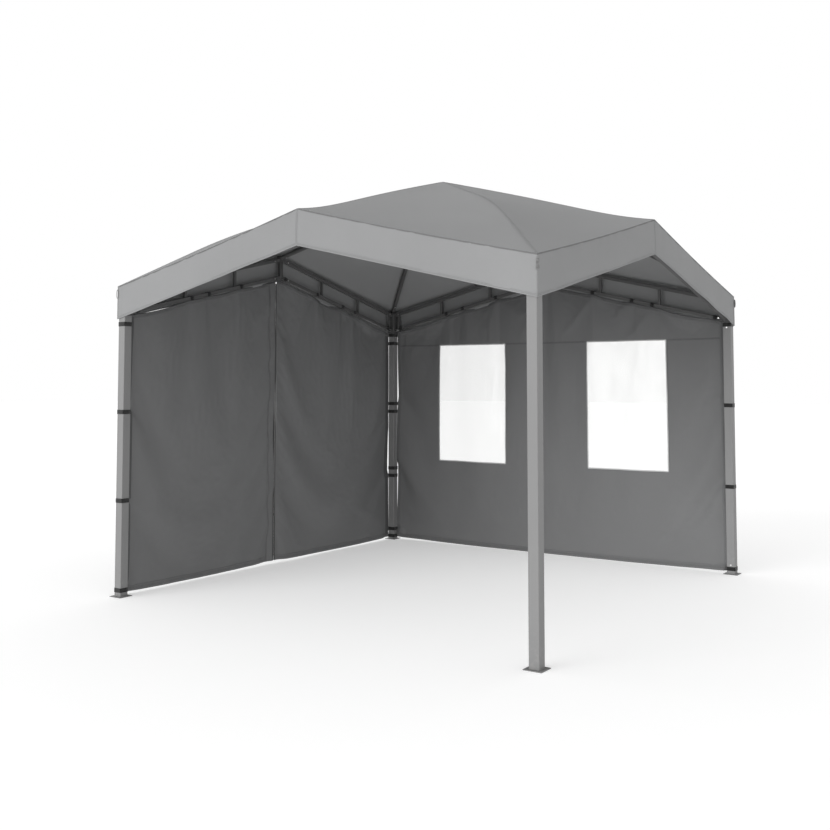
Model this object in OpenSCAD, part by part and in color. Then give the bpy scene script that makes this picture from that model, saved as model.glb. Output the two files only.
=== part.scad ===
// Garden pavilion: a four-gable canopy on four square legs, with one zipped wall and one window wall.
// Origin on the ground at the middle of the plan, +Z up, open front towards -Y, open side towards +X.

/* [Overall] */
// Width and depth over the outside of the legs
span = 3000; // [2400:50:3600]
// Height of the roof's edge at each corner
eave_h = 1960; // [1800:10:2400]
// Height of the roof's edge above the eave, at the middle of each side
gable_rise = 360; // [250:10:460]
// Height of the apex above the roof's edge at the middle of each side
apex_rise = 395; // [340:5:520]

/* [Legs and feet] */
// Width of the square leg tube
leg_w = 58; // [45:1:80]
// Wall of the leg tube
leg_wall = 1.2; // [0.8:0.1:3]
// Corner radius of the leg tube
leg_r = 4; // [2:0.5:8]
// Reach of the square foot plate past the leg's faces
plate_over = 21; // [16:0.5:40]
// Thickness of the foot plate
plate_t = 4; // [3:0.5:8]
// Distance of an anchor hole from the leg's face
hole_in = 10.5; // [8:0.5:15]
// Diameter of an anchor hole
hole_d = 9; // [6:0.5:11]
// Depth that a plug reaches into a leg
plug_l = 100; // [80:5:200]
// Height of the screw that holds a leg to its foot
foot_screw_z = 65; // [62:0.5:68]

/* [Trusses] */
// Width of the square chord tube
chord_w = 25; // [20:1:30]
// Corner radius of the chord tube
chord_r = 2.5; // [1.5:0.1:2.8]
// Width of the square uprights between the chords
web_w = 19; // [12:1:20]
// Wall of the chords, the uprights and the rafters
tube_wall = 1.2; // [0.8:0.1:2]
// Distance between the axes of the two chords, straight down
truss_depth = 135; // [110:5:200]
// Gap between the top chord and the roof's edge, straight down
chord_gap = 27.5; // [24:0.5:50]
// Distance of the first upright from the middle of the side
web_1 = 490; // [350:5:560]
// Distance of the second upright from the middle of the side
web_2 = 963; // [700:5:980]
// Distance of the last upright from the leg's face
web_end = 32; // [20:1:60]
// Length of the spigots that the tubes slide over
spigot_l = 70; // [50:5:100]

/* [Rafters] */
// Outside diameter of the rafters
rafter_d = 32; // [25:0.2:39]
// Gap between a hip rafter and the cloth, straight down
hip_gap = 2.5; // [2:0.5:10]
// Gap between a ridge rafter and the cloth, straight down
ridge_gap = 22; // [15:1:35]
// Distance of a hip rafter's lower end from the leg's centre, along the diagonal
rafter_in = 60; // [56:1:80]
// Distance of the hip's bend from the roof's corner, along either side
bend_in = 560; // [460:10:800]
// Height of the hip's bend above the eave
bend_rise = 392; // [360:2:440]
// Half the length over which the hip bends
bend_half = 220; // [120:10:300]
// Radius of the hub at the apex
hub_r = 45; // [42:1:60]
// Height of the hub's cylinder
hub_h = 56; // [50:1:80]

/* [Cloth] */
// Thickness of the coated cloth
cloth_t = 1.5; // [1:0.1:3]
// Overhang of the roof past the legs
roof_over = 6; // [4:0.5:30]
// Height of the valance
valance_h = 210; // [120:5:300]
// Distance from the legs' centre out to the walls' plane
wall_out = 24; // [0:1:24]
// Gap between a wall's edge and the leg
wall_gap = 6; // [5:0.5:15]
// Height of the wall's hem above the ground
hem_h = 18; // [15:1:60]
// Distance of a window from the middle of the wall
window_in = 365; // [200:5:400]
// Width of a window
window_w = 635; // [400:5:680]
// Height of the window's lower edge
window_z = 700; // [500:10:900]
// Drop of a window's upper edge below the wall's top, at the window's outer side
window_drop = 223; // [150:1:400]
// Thickness of the clear film
film_t = 0.8; // [0.5:0.1:1.5]
// Margin of the film that is welded to the wall round a window
film_over = 14; // [5:1:25]

/* [Zip] */
// Drop of a leaf's upper corner at the leg, so that it swings clear of the truss
leaf_drop = 12; // [12:1:40]
// Length of a leaf's upper edge that slants down to that corner
leaf_slant = 400; // [400:10:600]
// Distance of the zip from the middle of the wall, towards the front
zip_off = 26; // [20:1:80]
// Width of one zip tape
tape_w = 12; // [8:1:20]
// Width of the facing beside the zip
facing_w = 70; // [40:5:120]
// Height of the slider
slider_h = 18; // [14:1:30]
// Length of the pull
pull_l = 38; // [25:1:60]

/* [Straps] */
// Width of the webbing
strap_w = 27; // [15:1:28]
// Thickness of the webbing
strap_t = 2; // [1:0.1:3]
// Height of the front leaf's lowest strap
front_leaf_strap_z = 42; // [30:1:44]
// Drop of the front leaf's highest strap below the top of the leg
front_leaf_strap_drop = 55; // [55:1:100]
// Height of the back leaf's lowest strap
back_leaf_strap_z = 29.5; // [20:0.5:35]
// Drop of the back leaf's highest strap below the top of the leg
back_leaf_strap_drop = 87; // [70:1:120]
// Height of the window wall's lowest strap on the back left leg
window_left_strap_z = 89; // [86:1:120]
// Height of the window wall's lowest strap on the back right leg
window_right_strap_z = 39; // [30:1:44]
// Drop of the window wall's highest straps below the top of the leg
window_strap_drop = 15; // [14:0.5:15.5]
// Shift of the middle straps on the back left leg
middle_shift = -37; // [-60:1:60]
// Distance of the tie that is nearest to the middle of a truss
tie_in = 45; // [36:1:50]
// Distances of the other ties from the middle of a truss
ties_at = [430, 750, 910];
// Distance of the last tie from the leg's face
tie_end = 60; // [60:1:120]

/* [Hidden] */

$fn = 48;

fit = 0.5;            // clearance of a spigot or plug in its tube, on each side
gap = 0.3;            // gap between pieces that lie against each other
hole_gap = 0.3;       // clearance of a screw in its hole
weld_gap = 0.1;       // gap at the weld between an upright and a chord
screw_r = 3;
screw_head_r = 5.5;
screw_head_h = 3.5;
screw_l = 12;
screw_in = 35;        // distance of a screw from the tube's end
gable_screw_in = 60;  // distance of a truss's inner screws from the gable post
frame_grey = [0.56, 0.56, 0.57];
roof_grey = [0.62, 0.62, 0.63];
wall_grey = [0.38, 0.38, 0.39];

leg_c = span / 2 - leg_w / 2;
leg_face = leg_c - leg_w / 2;
roof_half = span / 2 + roof_over;
gable_h = eave_h + gable_rise;
apex_h = gable_h + apex_rise;

// The roof: heights of its edge, its ridges, its hips and any point between a ridge and a hip
eave_slope = gable_rise / roof_half;
eave_angle = atan(eave_slope);
ridge_slope = apex_rise / roof_half;
ridge_angle = atan(ridge_slope);
low_slope = bend_rise / bend_in;
high_slope = (apex_h - eave_h - bend_rise) / (roof_half - bend_in);
bend_0 = bend_in - bend_half;
bend_1 = bend_in + bend_half;
function edge_z(x) = gable_h - eave_slope * x;
function ridge_z(a) = apex_h - ridge_slope * a;
function hip_z(a) = let (s = roof_half - a)
    s < bend_0 ? eave_h + low_slope * s :
    s > bend_1 ? apex_h - high_slope * a :
    eave_h + low_slope * s - (low_slope - high_slope) * pow(s - bend_0, 2) / (4 * bend_half);
function roof_z(a, b) = ridge_z(a) + (hip_z(a) - ridge_z(a)) * b / a;
ring_steps = [0, bend_0 / 2, bend_0, bend_in - bend_half / 2, bend_in, bend_in + bend_half / 2, bend_1,
    (bend_1 + roof_half) / 2];
apex_hole = 2;
rings = concat([for (s = ring_steps) roof_half - s], [apex_hole]);

// The trusses: axes of the chords and how far the tubes run
chord_drop = chord_gap + cloth_t + chord_w / 2 / cos(eave_angle);
function top_chord_z(x) = edge_z(x) - chord_drop;
function low_chord_z(x) = top_chord_z(x) - truss_depth;
joint_w = 30;
end_gap = 1 + chord_w / 2 * eave_slope;
chord_from = joint_w / 2 + end_gap;
chord_to = leg_face - end_gap;

// The legs stop under the corner joints' heads
leg_z0 = plate_t + 0.2;
head_margin = chord_w / 2 + 12.5;
head_z0 = low_chord_z(leg_face) - head_margin;
leg_z1 = head_z0 - 0.2;
plate_w = leg_w + 2 * plate_over;
plug_w = leg_w - 2 * leg_wall - 2 * fit;
plug_wall = 2;
spigot_wall = 2.5;

// The hips: horizontal distances here are along the diagonal
low_angle = atan(low_slope / sqrt(2));
high_angle = atan(high_slope / sqrt(2));
turn = low_angle - high_angle;
mid_angle = (low_angle + high_angle) / 2;
rafter_r = rafter_d / 2;
hip_drop = rafter_r / cos(low_angle) + cloth_t + hip_gap;
ridge_drop = rafter_r / cos(ridge_angle) + cloth_t + ridge_gap;
bend_tangent = bend_half * sqrt(2) / cos(mid_angle);
bend_radius = bend_tangent / tan(turn / 2);
bend_d = (roof_half - bend_in) * sqrt(2);
bend_z = eave_h + bend_rise - hip_drop;
corner_d = leg_c * sqrt(2);
corner_z = bend_z - (corner_d - bend_d) * tan(low_angle);
rod_r = rafter_r - tube_wall - fit;
hub_in = hub_r + 12;

// The walls hang under the trusses, between the legs
tie_gap = 0.5;
wall_half = leg_face - wall_gap;
wall_c = leg_c + wall_out;
function wall_top(x) = low_chord_z(x) - (chord_w / 2 + tie_gap + strap_t) / cos(eave_angle) - 2 * gap;
zip_y = -zip_off;
window_h = wall_top(window_in + window_w) - window_drop - window_z;
zip_z0 = hem_h + 12;
zip_z1 = wall_top(zip_off) - 25;
coil_w = 2.4;
coil_t = 3;
coil_gap = 1;
slider_play = 0.4;
slider_lip = 1;
slider_half = coil_gap / 2 + coil_w + slider_play + slider_lip;
slider_z = zip_z0 + 45;
slider_pin_x = -wall_c - 8;

// ---- shared shapes ----

// Square with round corners, as used for every tube
module rounded_square(w, r) {
    square([w - 2 * r, w], center = true);
    square([w, w - 2 * r], center = true);
    for (x = [-1, 1], y = [-1, 1])
        translate([x * (w / 2 - r), y * (w / 2 - r)]) circle(r = r);
}

// Hollow square tube along +Z
module square_tube(w, r, wall, h) {
    difference() {
        linear_extrude(height = h) rounded_square(w, r);
        translate([0, 0, -1]) linear_extrude(height = h + 2) rounded_square(w - 2 * wall, r - wall);
    }
}

// Screw with its head's underside at the origin and its shank along -Z
module screw() {
    translate([0, 0, 0.1]) cylinder(r = screw_head_r, h = screw_head_h);
    translate([0, 0, -screw_l]) cylinder(r = screw_r, h = screw_l + 0.2);
}

module screw_hole() {
    translate([0, 0, -screw_l - 1]) cylinder(r = screw_r + hole_gap, h = screw_l + 11);
}

// Puts a child at a distance along a front truss's chord, its +Z along the chord and away from the middle
module on_chord(z0, x) {
    translate([x, -leg_c, z0 - eave_slope * x]) rotate([0, 90 + eave_angle, 0]) children();
}

// Puts a child on the inner face of a chord, its +Z towards the inside
module on_chord_face(z0, x) {
    on_chord(z0, x) translate([0, chord_w / 2, 0]) rotate([-90, 0, 0]) children();
}

// Puts a child in the vertical plane along +X, its +Z pointing at an angle above the horizon, towards -X
module up_the_slope(d, z, angle) {
    translate([d, 0, z]) rotate([0, angle - 90, 0]) children();
}

// Puts a child on a rafter's underside, its +Z downwards
module under_tube() {
    translate([-rafter_r, 0, 0]) rotate([0, -90, 0]) children();
}

module at_corner(k) {
    rotate([0, 0, 90 * k]) translate([leg_c, -leg_c, 0]) children();
}

module on_side(k) {
    rotate([0, 0, 90 * k]) children();
}

module along_hip(k) {
    rotate([0, 0, 90 * k - 45]) children();
}

module along_ridge(k) {
    rotate([0, 0, 90 * k - 90]) children();
}

// ---- feet and legs ----

module foot(k) {
    color(frame_grey) at_corner(k) {
        difference() {
            linear_extrude(height = plate_t) rounded_square(plate_w, leg_r / 2);
            for (x = [-1, 1], y = [-1, 1])
                translate([x * (leg_w / 2 + hole_in), y * (leg_w / 2 + hole_in), -1])
                    cylinder(d = hole_d, h = plate_t + 2);
        }
        difference() {
            translate([0, 0, plate_t - 0.5])
                square_tube(plug_w, leg_r - leg_wall - fit / 2, plug_wall, plug_l);
            foot_screw_place() screw_hole();
        }
    }
}

// The foot's screw is on the leg's inner face
module foot_screw_place() {
    translate([-leg_w / 2, 0, foot_screw_z]) rotate([0, -90, 0]) children();
}

module leg(k) {
    color(frame_grey) at_corner(k) difference() {
        translate([0, 0, leg_z0]) square_tube(leg_w, leg_r, leg_wall, leg_z1 - leg_z0);
        foot_screw_place() screw_hole();
        head_screw_place() screw_hole();
    }
}

module foot_screws() {
    color("silver") for (k = [0:3]) at_corner(k) foot_screw_place() screw();
}

// ---- corner joints ----

module head_screw_place() {
    translate([-leg_w / 2, 0, leg_z1 - screw_in]) rotate([0, -90, 0]) children();
}

spigot_w = chord_w - 2 * tube_wall - 2 * fit;

// Spigot for a front truss's right end, and the hollow inside it
module corner_spigot(z0) {
    on_chord(z0, leg_face - spigot_l) linear_extrude(height = (spigot_l + 6) / cos(eave_angle))
        rounded_square(spigot_w, chord_r - tube_wall);
}

module corner_spigot_hollow(z0) {
    on_chord(z0, leg_face - spigot_l - 1) linear_extrude(height = (spigot_l - 5) / cos(eave_angle))
        square(spigot_w - 2 * spigot_wall, center = true);
}

// Both trusses' places at the front right corner, on both chords
module corner_chords() {
    for (z0 = [top_chord_z(0), low_chord_z(0)]) {
        children(z0 == low_chord_z(0) ? 0 : 1);
        rotate([0, 0, 90]) mirror([1, 0, 0]) children(z0 == low_chord_z(0) ? 0 : 1);
    }
}

module corner_chord_screw_places() {
    for (z0 = [top_chord_z(0), low_chord_z(0)]) {
        on_chord_face(z0, leg_face - screw_in) children();
        rotate([0, 0, 90]) mirror([1, 0, 0]) on_chord_face(z0, leg_face - screw_in) children();
    }
}

module corner_rod_screw_place() {
    d = rafter_in + screw_in;
    along_hip(0) up_the_slope(corner_d - d, corner_z + d * tan(low_angle), low_angle) under_tube() children();
}

// Head on the leg, with a plug below, spigots for both trusses and a rod for the hip rafter
module corner_joint(k) {
    head_z1 = corner_z - 12;
    color(frame_grey) on_side(k) difference() {
        union() {
            translate([leg_c, -leg_c, head_z0]) linear_extrude(height = head_z1 - head_z0)
                rounded_square(leg_w, leg_r);
            translate([leg_c, -leg_c, head_z0 - plug_l])
                square_tube(plug_w, leg_r - leg_wall - fit / 2, plug_wall, plug_l + 1);
            corner_chords() {
                corner_spigot(low_chord_z(0));
                corner_spigot(top_chord_z(0));
            }
            along_hip(0) up_the_slope(corner_d, corner_z, low_angle)
                cylinder(r = rod_r, h = (rafter_in + spigot_l) / cos(low_angle));
        }
        head_room = plug_wall + 1;
        translate([leg_c, -leg_c, head_z0 - 1])
            linear_extrude(height = head_z1 - head_z0 - head_room)
                rounded_square(leg_w - 2 * head_room, leg_r - plug_wall);
        corner_chords() {
            corner_spigot_hollow(low_chord_z(0));
            corner_spigot_hollow(top_chord_z(0));
        }
        along_hip(0) up_the_slope(corner_d, corner_z, low_angle) translate([0, 0, rafter_in])
            cylinder(r = rod_r - spigot_wall, h = spigot_l * 2);
        corner_chord_screw_places() screw_hole();
        corner_rod_screw_place() screw_hole();
        translate([leg_c, -leg_c, 0]) head_screw_place() screw_hole();
    }
}

module corner_screws() {
    color("silver") for (k = [0:3]) {
        on_side(k) corner_chord_screw_places() screw();
        on_side(k) corner_rod_screw_place() screw();
        at_corner(k) head_screw_place() screw();
    }
}

// ---- trusses ----

module chord(z0) {
    on_chord(z0, chord_from)
        square_tube(chord_w, chord_r, tube_wall, (chord_to - chord_from) / cos(eave_angle));
}

// Upright between the chords, cut to sit against them where it is welded
module web(x) {
    difference() {
        translate([x, -leg_c, low_chord_z(x)]) square_tube(web_w, chord_r / 2, tube_wall, truss_depth);
        for (z0 = [top_chord_z(0), low_chord_z(0)]) on_chord(z0, x - web_w)
            linear_extrude(height = 3 * web_w) rounded_square(chord_w + 2 * weld_gap, chord_r + weld_gap);
    }
}

// Half of a front truss, on the +X side; the other half is its mirror image
module half_truss(k, flip) {
    color(frame_grey) on_side(k) mirror([flip, 0, 0]) difference() {
        union() {
            for (z0 = [top_chord_z(0), low_chord_z(0)]) chord(z0);
            for (x = [web_1, web_2, leg_face - web_end]) web(x);
        }
        for (z0 = [top_chord_z(0), low_chord_z(0)], x = [joint_w / 2 + gable_screw_in, leg_face - screw_in])
            on_chord_face(z0, x) screw_hole();
    }
}

// ---- gable joints ----

module gable_chord_screw_places() {
    for (z0 = [top_chord_z(0), low_chord_z(0)], m = [0, 1])
        mirror([m, 0, 0]) on_chord_face(z0, joint_w / 2 + gable_screw_in) children();
}

gable_rod_z = ridge_z(leg_c) - ridge_drop;
post_under = 1;
rod_from = joint_w / 2 + 8;

module gable_rod_screw_place() {
    along_ridge(0) up_the_slope(leg_c - rod_from - screw_in,
        gable_rod_z + (rod_from + screw_in) * ridge_slope, ridge_angle)
        under_tube() children();
}

// Post between the two half trusses, with four chord spigots and a rod for the ridge rafter
module gable_joint(k) {
    post_z0 = low_chord_z(0) - chord_w / 2 - post_under;
    post_z1 = gable_rod_z + rafter_r;
    color(frame_grey) on_side(k) difference() {
        union() {
            translate([0, -leg_c, post_z0]) linear_extrude(height = post_z1 - post_z0)
                rounded_square(joint_w, 3);
            for (z0 = [top_chord_z(0), low_chord_z(0)], m = [0, 1])
                mirror([m, 0, 0]) on_chord(z0, joint_w / 2 - 6)
                    linear_extrude(height = (spigot_l + 6) / cos(eave_angle))
                        rounded_square(spigot_w, chord_r - tube_wall);
            along_ridge(0) up_the_slope(leg_c, gable_rod_z, ridge_angle)
                cylinder(r = rod_r, h = (rod_from + spigot_l) / cos(ridge_angle));
        }
        for (z0 = [top_chord_z(0), low_chord_z(0)], m = [0, 1])
            mirror([m, 0, 0]) on_chord(z0, joint_w / 2 + 4) linear_extrude(height = 2 * spigot_l)
                square(spigot_w - 2 * spigot_wall, center = true);
        along_ridge(0) up_the_slope(leg_c, gable_rod_z, ridge_angle) translate([0, 0, rod_from])
            cylinder(r = rod_r - spigot_wall, h = 2 * spigot_l);
        gable_chord_screw_places() screw_hole();
        gable_rod_screw_place() screw_hole();
    }
}

module gable_screws() {
    color("silver") for (k = [0:3]) on_side(k) {
        gable_chord_screw_places() screw();
        gable_rod_screw_place() screw();
    }
}

// ---- rafters ----

// The bent path of a hip rafter from the leg to the hub: [distance along the diagonal, height, slope angle]
arc_parts = 5;
arc_d = bend_d - bend_radius / cos(turn / 2) * sin(mid_angle);
arc_z = bend_z - bend_radius / cos(turn / 2) * cos(mid_angle);
hip_path = concat(
    [[corner_d - rafter_in, bend_z - (corner_d - rafter_in - bend_d) * tan(low_angle), low_angle]],
    [for (i = [0:arc_parts]) let (a = low_angle - turn * i / arc_parts)
        [arc_d + bend_radius * sin(a), arc_z + bend_radius * cos(a), a]],
    [[hub_in, bend_z + (bend_d - hub_in) * tan(high_angle), high_angle]]
);

// A tube in the XZ plane along a path of points, each with its slope
module swept_tube(path, r_out, r_in, sides) {
    last = len(path) - 1;
    pts = [for (p = path, r = [r_out, r_in], j = [0:sides - 1]) let (t = 360 * j / sides)
        [p[0] + r * cos(t) * sin(p[2]), r * sin(t), p[1] + r * cos(t) * cos(p[2])]];
    function id(i, inner, j) = (2 * i + inner) * sides + j % sides;
    walls = [for (i = [0:last - 1], j = [0:sides - 1]) each [
        [id(i, 0, j), id(i, 0, j + 1), id(i + 1, 0, j + 1), id(i + 1, 0, j)],
        [id(i, 1, j + 1), id(i, 1, j), id(i + 1, 1, j), id(i + 1, 1, j + 1)]
    ]];
    ends = [for (j = [0:sides - 1]) each [
        [id(0, 0, j + 1), id(0, 0, j), id(0, 1, j), id(0, 1, j + 1)],
        [id(last, 0, j), id(last, 0, j + 1), id(last, 1, j + 1), id(last, 1, j)]
    ]];
    polyhedron(points = pts, faces = concat(walls, ends));
}

module hip_rafter(k) {
    color(frame_grey) difference() {
        along_hip(k) swept_tube(hip_path, rafter_r, rafter_r - tube_wall, 24);
        on_side(k) corner_rod_screw_place() screw_hole();
        on_side(k) hub_hip_screw_place() screw_hole();
    }
}

module ridge_rafter(k) {
    d0 = leg_c - rod_from;
    long = (d0 - hub_in) / cos(ridge_angle);
    color(frame_grey) difference() {
        along_ridge(k) up_the_slope(d0, gable_rod_z + rod_from * ridge_slope, ridge_angle) difference() {
            cylinder(r = rafter_r, h = long);
            translate([0, 0, -1]) cylinder(r = rafter_r - tube_wall, h = long + 2);
        }
        on_side(k) gable_rod_screw_place() screw_hole();
        on_side(k) hub_ridge_screw_place() screw_hole();
    }
}

// ---- apex hub ----

hub_ridge_z = apex_h - ridge_drop;
hub_hip_z = bend_z + bend_d * tan(high_angle);
hub_top = apex_h - cloth_t - hub_r * ridge_slope - 4;

module hub_ridge_screw_place() {
    d = hub_in + screw_in;
    along_ridge(0) up_the_slope(d, hub_ridge_z - d * ridge_slope, ridge_angle) under_tube() children();
}

module hub_hip_screw_place() {
    d = hub_in + screw_in;
    along_hip(0) up_the_slope(d, hub_hip_z - d * tan(high_angle), high_angle) under_tube() children();
}

module apex_hub() {
    reach = hub_in + spigot_l;
    color(frame_grey) difference() {
        union() {
            translate([0, 0, hub_top - hub_h]) cylinder(r = hub_r, h = hub_h);
            translate([0, 0, hub_top]) cylinder(r1 = hub_r - 3, r2 = 12, h = 8);
            for (k = [0:3]) {
                along_ridge(k) up_the_slope(reach, hub_ridge_z - reach * ridge_slope, ridge_angle)
                    cylinder(r = rod_r, h = (reach - 20) / cos(ridge_angle));
                along_hip(k) up_the_slope(reach, hub_hip_z - reach * tan(high_angle), high_angle)
                    cylinder(r = rod_r, h = (reach - 20) / cos(high_angle));
            }
        }
        for (k = [0:3]) {
            along_ridge(k) up_the_slope(reach, hub_ridge_z - reach * ridge_slope, ridge_angle)
                translate([0, 0, -1]) cylinder(r = rod_r - spigot_wall, h = spigot_l);
            along_hip(k) up_the_slope(reach, hub_hip_z - reach * tan(high_angle), high_angle)
                translate([0, 0, -1]) cylinder(r = rod_r - spigot_wall, h = spigot_l);
            on_side(k) hub_ridge_screw_place() screw_hole();
            on_side(k) hub_hip_screw_place() screw_hole();
        }
        translate([0, 0, hub_top - hub_h - 1]) cylinder(r = 14, h = hub_h - 20);
    }
}

module apex_screws() {
    color("silver") for (k = [0:3]) on_side(k) {
        hub_ridge_screw_place() screw();
        hub_hip_screw_place() screw();
    }
}

// ---- canopy ----

// One of eight sewn panels, between the front ridge and the front right hip
module roof_panel() {
    seam = gap / 2;
    last = len(rings) - 1;
    pts = [for (a = rings, b = [seam, a - seam], t = [0, cloth_t]) [b, -a, roof_z(a, b) - t]];
    strips = [for (i = [0:last - 1]) let (n = 4 * i, m = n + 4) each [
        [n, m, m + 2], [n, m + 2, n + 2],
        [n + 1, m + 3, m + 1], [n + 1, n + 3, m + 3],
        [n + 2, m + 2, m + 3, n + 3],
        [m, n, n + 1, m + 1]
    ]];
    e = 4 * last;
    polyhedron(points = pts, faces = concat(strips, [[0, 2, 3, 1], [e + 2, e, e + 1, e + 3]]));
}

module canopy_roof() {
    color(roof_grey) for (k = [0:3], m = [0, 1]) on_side(k) mirror([m, 0, 0]) roof_panel();
}

// Half of one side's valance; one end runs on to close the corner
module valance_panel(x_end) {
    top = cloth_t + gap;
    translate([0, -roof_half + cloth_t, 0]) rotate([90, 0, 0]) linear_extrude(height = cloth_t) polygon([
        [gap / 2, edge_z(0) - top], [x_end, edge_z(x_end) - top],
        [x_end, edge_z(x_end) - valance_h], [gap / 2, edge_z(0) - valance_h]
    ]);
}

module canopy_valance() {
    color(roof_grey) for (k = [0:3]) on_side(k) {
        valance_panel(roof_half - cloth_t - gap);
        mirror([1, 0, 0]) valance_panel(roof_half);
    }
}

// Webbing loops for guy ropes, one sewn to each corner of the valance
module guy_loops() {
    loop_h = 56;
    loop_out = 7.5;
    loop_w = 18;
    color([0.5, 0.5, 0.51]) for (k = [0:3]) along_hip(k)
        translate([roof_half * sqrt(2) + gap, loop_w / 2, eave_h - 50]) rotate([90, 0, 0])
            linear_extrude(height = loop_w) difference() {
                translate([0, -loop_h / 2]) square([loop_out, loop_h]);
                translate([strap_t, -loop_h / 2 + strap_t])
                    square([loop_out - 2 * strap_t, loop_h - 2 * strap_t]);
            }
}

// ---- window wall ----

module window_hole(margin) {
    translate([window_in + margin, window_z + margin])
        square([window_w - 2 * margin, window_h - 2 * margin]);
}

module window_wall() {
    color(wall_grey) translate([0, wall_c + cloth_t / 2, 0]) rotate([90, 0, 0])
        linear_extrude(height = cloth_t) difference() {
            polygon([
                [-wall_half, hem_h], [wall_half, hem_h], [wall_half, wall_top(wall_half)],
                [0, wall_top(0)], [-wall_half, wall_top(wall_half)]
            ]);
            window_hole(0);
            mirror([1, 0]) window_hole(0);
        }
}

module window_film(flip) {
    color([0.95, 0.96, 0.95, 0.4]) mirror([flip, 0, 0]) translate([0, wall_c + cloth_t / 2 + gap + film_t, 0])
        rotate([90, 0, 0]) linear_extrude(height = film_t) window_hole(-film_over);
}

// ---- zip wall: two leaves that meet at a zip ----

// Extrudes an outline drawn in Y and Z, centred on the left wall's plane
module in_left_wall(t, x = 0) {
    translate([-wall_c - t / 2 + x, 0, 0]) rotate([90, 0, 90]) linear_extrude(height = t) children();
}

module front_leaf() {
    y1 = zip_y - coil_gap / 2 - tape_w;
    color(wall_grey) in_left_wall(cloth_t) polygon([
        [-wall_half, hem_h], [y1, hem_h], [y1, wall_top(-y1)],
        [leaf_slant - wall_half, wall_top(wall_half - leaf_slant)],
        [-wall_half, wall_top(wall_half) - leaf_drop]
    ]);
}

module back_leaf() {
    y0 = zip_y + coil_gap / 2 + tape_w;
    color(wall_grey) in_left_wall(cloth_t) polygon([
        [y0, hem_h], [wall_half, hem_h], [wall_half, wall_top(wall_half) - leaf_drop],
        [wall_half - leaf_slant, wall_top(wall_half - leaf_slant)], [max(y0, 0), wall_top(max(y0, 0))],
        [y0, wall_top(abs(y0))]
    ]);
}

// Doubled strip of cloth on the inside of the front leaf, along the zip
module zip_facing() {
    y1 = zip_y - slider_half - gap;
    y0 = y1 - facing_w;
    color(wall_grey) in_left_wall(cloth_t, cloth_t + gap) polygon([
        [y0, hem_h + 2], [y1, hem_h + 2], [y1, wall_top(-y1) - 4], [y0, wall_top(-y0) - 4]
    ]);
}

// One half of the zip: a tape and its coil; side is -1 for the front leaf and 1 for the back leaf
module zip_half(side, z0) {
    tape_t = 1;
    y_in = coil_gap / 2;
    tape_from = y_in + 1;
    tape_to = y_in + tape_w - gap;
    color([0.12, 0.12, 0.12]) translate([-wall_c, zip_y, z0]) {
        translate([-tape_t / 2, side < 0 ? -tape_to : tape_from, 0])
            cube([tape_t, tape_to - tape_from, zip_z1 - z0]);
        translate([-coil_t / 2, side < 0 ? -y_in - coil_w : y_in, 0])
            cube([coil_t, coil_w, zip_z1 - z0]);
    }
}

// Slider: two plates joined by a thin neck between the coils, lips round the coils, and ears for the pull
module zip_slider() {
    plate = 1.2;
    lip = slider_lip;
    half_w = slider_half;
    x_in = coil_t / 2 + slider_play;
    lip_h = x_in - 1.1;
    neck_t = coil_gap / 2;
    ear_y = 3.2;
    ear_t = 1.2;
    color([0.25, 0.25, 0.26]) translate([-wall_c, zip_y, slider_z]) {
        for (m = [0, 1]) mirror([m, 0, 0]) {
            translate([x_in, -half_w, 0]) cube([plate, 2 * half_w, slider_h]);
            for (y = [-half_w, half_w - lip])
                translate([x_in - lip_h, y, 0]) cube([lip_h + 0.1, lip, slider_h]);
        }
        translate([-x_in - 0.1, -neck_t / 2, 0]) cube([2 * x_in + 0.2, neck_t, slider_h / 3]);
        difference() {
            for (y = [-ear_y, ear_y - ear_t])
                translate([-x_in - plate - 7, y, slider_h / 2 - 3]) cube([7.2, ear_t, 6]);
            translate([slider_pin_x + wall_c, 0, slider_h / 2]) rotate([90, 0, 0])
                cylinder(r = 0.9, h = 4 * ear_y, center = true);
        }
        translate([slider_pin_x + wall_c, 0, slider_h / 2]) rotate([90, 0, 0])
            cylinder(r = 1, h = 2 * ear_y - 0.4, center = true);
    }
}

// Pull: an eye round the slider's pin and a flat tab that hangs from it
module zip_pull() {
    pin_play = 0.08;
    eye_w = 3.4;
    color([0.25, 0.25, 0.26]) translate([slider_pin_x, zip_y, slider_z + slider_h / 2])
        rotate([90, 0, 0]) difference() {
            union() {
                cylinder(r = 2.2, h = eye_w, center = true);
                translate([-0.75, -pull_l, -eye_w / 2]) cube([1.5, pull_l - 1.5, eye_w]);
                translate([-0.75, -pull_l, -4]) cube([1.5, pull_l - 12, 8]);
            }
            cylinder(r = 1 + pin_play, h = 2 * eye_w, center = true);
        }
}

// ---- straps and ties ----

// Four straps of webbing round a leg, each with a tab towards its wall
module leg_straps(low, drop, shift, tab_angle) {
    inner = leg_w + 2 * gap;
    swing_gap = 1;
    high = leg_z1 - drop;
    step = (high - low) / 3;
    tab_y = tab_angle == 180 ? wall_out : -wall_out;
    color([0.06, 0.06, 0.06]) for (z = [low, low + step + shift, high - step + shift, high])
    translate([0, 0, z - strap_w / 2]) {
        difference() {
            linear_extrude(height = strap_w) rounded_square(inner + 2 * strap_t, leg_r + strap_t);
            translate([0, 0, -1]) linear_extrude(height = strap_w + 2) rounded_square(inner, leg_r);
        }
        rotate([0, 0, tab_angle]) translate([inner / 2 + strap_t - 0.2, tab_y - cloth_t / 2, 0])
            cube([wall_gap - gap - strap_t - swing_gap + 0.2, cloth_t, strap_w]);
    }
}

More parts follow.
